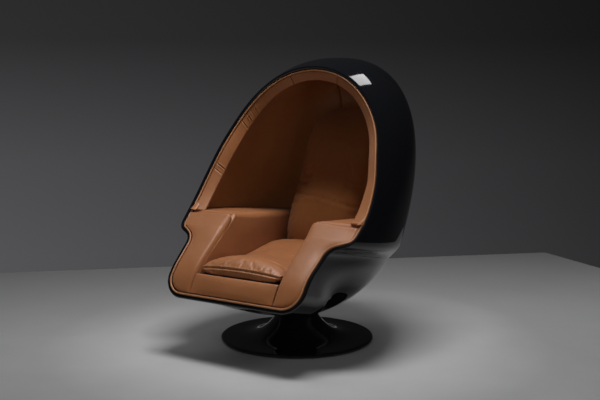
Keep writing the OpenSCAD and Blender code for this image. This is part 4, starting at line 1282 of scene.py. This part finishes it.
# %% [markdown]
# The foot is one spun sheet: a flare whose height falls with a power of the radius, and a
# rounded rim that turns down to the floor. Geometry Nodes turn the line round the axis: a grid
# has a row for every point of the line and a column for every step of the turn, and Set
# Position bends its rows into rings.
# %% Pedestal cover
disc_r, disc_edge_h, neck_r, cover_wall, felt_h, cover_fit = 0.350, 0.018, 0.094, 0.003, 0.004, 0.0003
swivel_plate_h, column_r, flare_power, flare_bias = 0.008, 0.03405, 3.9, 1.3
flare_points, rim_points, rim_start, turned_steps, turned_merge = 70, 10, 80, 220, 1e-5
rim_r = disc_edge_h / 2
cover_top = shell_base_z - swivel_plate_h - swivel_plate_h / 3 - cover_wall / 2
cover_hole = column_r + cover_fit


def cover_line():
    r = mix(neck_r, disc_r - rim_r, np.linspace(0, 1, flare_points) ** flare_bias)
    fall = np.maximum(0, (disc_r - rim_r - r) / (disc_r - rim_r - neck_r))
    z = disc_edge_h + (cover_top - disc_edge_h) * fall**flare_power
    turn = np.radians(np.linspace(rim_start, 0, rim_points))
    rim = np.stack([disc_r - rim_r + rim_r * np.cos(turn), disc_edge_h - rim_r + rim_r * np.sin(turn)], -1)
    outer = np.concatenate([np.stack([r, z], -1), rim, [[disc_r, felt_h + cover_fit]]])
    way = np.gradient(outer, axis=0)
    inner = (outer + cover_wall * unit(np.stack([way[:, 1], -way[:, 0]], -1)))[::-1]
    under = cover_top - cover_wall
    neck = [[inner[-1, 0], under], [cover_hole, under]]
    r, z = np.concatenate([[[cover_hole, cover_top]], outer, inner, neck]).T
    return np.stack([r, 0 * r, z], -1)


def turning(points):
    growth = Growth("turning", pedestal_lacquer, points=points + 1, steps=turned_steps)
    grid = growth.add("GeometryNodeMeshGrid", {}, {
        "Size X": 1.0, "Size Y": 1.0, "Vertices X": turned_steps + 1, "Vertices Y": points + 1})[0]
    index = growth.add("GeometryNodeInputIndex")[0]
    point = index % growth.given("points") % float(points)
    angle = (index / growth.given("points")).whole() / growth.given("steps") * (2 * math.pi)
    line = growth.add("GeometryNodeSampleIndex", {"data_type": "FLOAT_VECTOR", "domain": "POINT"}, {
        "Geometry": growth.given("Geometry"), "Value": growth.add("GeometryNodeInputPosition")[0],
        "Index": point})[0]
    turned = growth.add("ShaderNodeVectorRotate", {"rotation_type": "Z_AXIS"}, {
        "Vector": line, "Angle": angle})[0]
    moved = growth.add("GeometryNodeSetPosition", {}, {"Geometry": grid, "Position": turned})[0]
    return growth.finish(growth.add("GeometryNodeMergeByDistance", {}, {
        "Geometry": moved, "Distance": turned_merge})[0])


cover_profile = cover_line()
base_cover = grow("pedestal_cover", turning(len(cover_profile)), cover_profile)
settle(base_cover, "base", "pedestal_lacquer", "base_cover")
print("pedestal cover", len(base_cover.data.polygons), "faces")

# %% [markdown]
# The studio has a pale floor that ends in a corner behind the chair. Its colour carries a painted pool
# of light, brightest round the foot and darker outwards, as in the photograph, and painted shade that
# darkens it towards that corner. A little speckle keeps it from looking flat.
# %% Floor
floor_corner, floor_reach, floor_fade = (0.20, 2.76, 0), 8.5, 1.6
painted_light_pool = ((0.25, 1.0), (0.375, 0.90), (0.475, 0.75), (0.575, 0.62), (0.8, 0.57))
floor_dark, floor_light, painted_far_shade = (0.45, 0.45, 0.45), (0.50, 0.50, 0.50), (0.17, 0.17, 0.17, 1)
left_way, right_way, edge_way = (-0.707, -0.707, 0), (0.816, -0.578, 0), (0.707, -0.707, 0)
speck_bump = (0.05, 0.0005)


def floor_paint():
    paint = Paint("studio_floor", Specular_IOR_Level=0.25, Roughness=0.62)
    cloudy = paint.cloud(1.6, 4, 0.6)
    speck = paint.cloud(160, 3, 0.6)
    tint = paint.ramp(cloudy, [(0.3, floor_dark), (0.7, floor_light)])
    radius = paint.add("ShaderNodeVectorMath", {"operation": "LENGTH"}, {0: paint.place()})[1]
    # Painted pool of light: the floor's colour is lighter round the foot and darker outwards.
    pool = paint.ramp(radius * 0.5, [(at, (grey,) * 3) for at, grey in painted_light_pool])
    tint = paint.blend(1.0, tint, pool, "MULTIPLY")
    # Painted shade: the floor's colour darkens towards the far corner, where the light falls off.
    from_edge = paint.along(paint.place(), edge_way) - np.dot(edge_way, floor_corner)
    tint = paint.blend(paint.clamp(from_edge * (1 / floor_fade)), painted_far_shade, tint)
    return paint.feed(Base_Color=tint, Normal=paint.bump(speck, *speck_bump))


def floor_points():
    left, right = [[c + floor_reach * w for c, w in zip(floor_corner, way)] for way in (left_way, right_way)]
    return [floor_corner, left, (left[0], -floor_reach, 0), (right[0], -floor_reach, 0), right]


floor = new_object("studio_floor", floor_points(), [(0, 1, 2, 3, 4)], floor_paint())
print("floor laid")

# %% [markdown]
# A wide light hangs over the chair. The shell doesn't mirror it, and a twin that only the leather
# mirrors, all but the back cushion's, gives the padding its sheen. Weak fills stand high on the
# left and the right, over the left, low in front and low on the right. One softbox behind the
# chair is mirrored by everything: it is the white patch on the crown. The backdrop darkens
# upwards and towards the right.
# %% Lights and backdrop
sky_stops, sky_blue = ((0.205, 0.057), (0.36, 0.046), (0.567, 0.018), (0.9, 0.012)), 1.05
sky_height, sky_width, sky_strength = 0.3, 0.35, (1.6, 0.4)
body_middle = (0, 0, 0.5)


def area_light(name, place, aim, size, watts, mirrored=False):
    data = bpy.data.lights.new(name, "AREA")
    data.shape, data.size, data.size_y = "RECTANGLE", size[0], size[1]
    data.energy = watts
    light = add_object(name, data)
    light.location = place
    light.rotation_euler = (Vector(aim) - Vector(place)).to_track_quat("-Z", "Y").to_euler()
    light.visible_glossy = mirrored
    return light


def sky_range(sky, value, reach, start, end):
    """Turns a value from -reach to reach into one from start to end."""
    return sky.add("ShaderNodeMapRange", {}, {
        "Value": value, "From Min": -reach, "From Max": reach, "To Min": start, "To Max": end})[0]


def backdrop():
    world = bpy.data.worlds.new("studio")
    world.use_nodes = True
    sky = Tree(world.node_tree)
    way = sky.add("ShaderNodeTexCoord")[0]
    height = sky.add("ShaderNodeSeparateXYZ", {}, {0: way})[2]
    colour = sky.ramp(sky_range(sky, height, sky_height, 0, 1),
                      [(at, (grey, grey, grey * sky_blue)) for at, grey in sky_stops])
    right = sky.along(way, (math.cos(camera_bearing), math.sin(camera_bearing), 0))
    shade = world.node_tree.nodes["Background"]
    sky.set(shade, "Color", colour)
    sky.set(shade, "Strength", sky_range(sky, right, sky_width, *sky_strength))
    return world


area_light("overhead", (0.22, 0.02, 4.2), (0.16, 0.11, 0.4), (1.7, 0.8), 130)
sheen = area_light("overhead_sheen", (0.0, -0.1, 4.2), (0, 0, 0.4), (1.9, 1.9), 130, True)
sheen.visible_diffuse = False
upholstery, hides = bpy.data.collections.new("leather_pieces"), {leather, piping_leather}
for piece in bpy.context.scene.objects:
    if piece.type == "MESH" and piece != back_cushion and hides & set(piece.data.materials):
        upholstery.objects.link(piece)
sheen.light_linking.receiver_collection = upholstery
area_light("left_high", (-3.4, -0.6, 3.2), body_middle, (1.4, 1.4), 14)
area_light("right_high", (3.2, 0.2, 3.2), body_middle, (1.6, 1.6), 10)
area_light("over_left", (-1.8, 0.2, 3.6), body_middle, (1.6, 1.6), 14)
area_light("front_low", (0.6, -4.6, 1.7), (0, -0.2, 0.6), (1.4, 1.4), 12)
area_light("right_low", (3.4, -1.6, 0.72), (0, 0, 0.6), (0.8, 0.35), 12)
area_light("crown_softbox", (0.31, 1.33, 3.2), (0.15, 0.3, 1.0), (0.55, 0.75), 6.5, True)
bpy.context.scene.world = backdrop()
bpy.context.scene.view_settings.view_transform = "Standard"
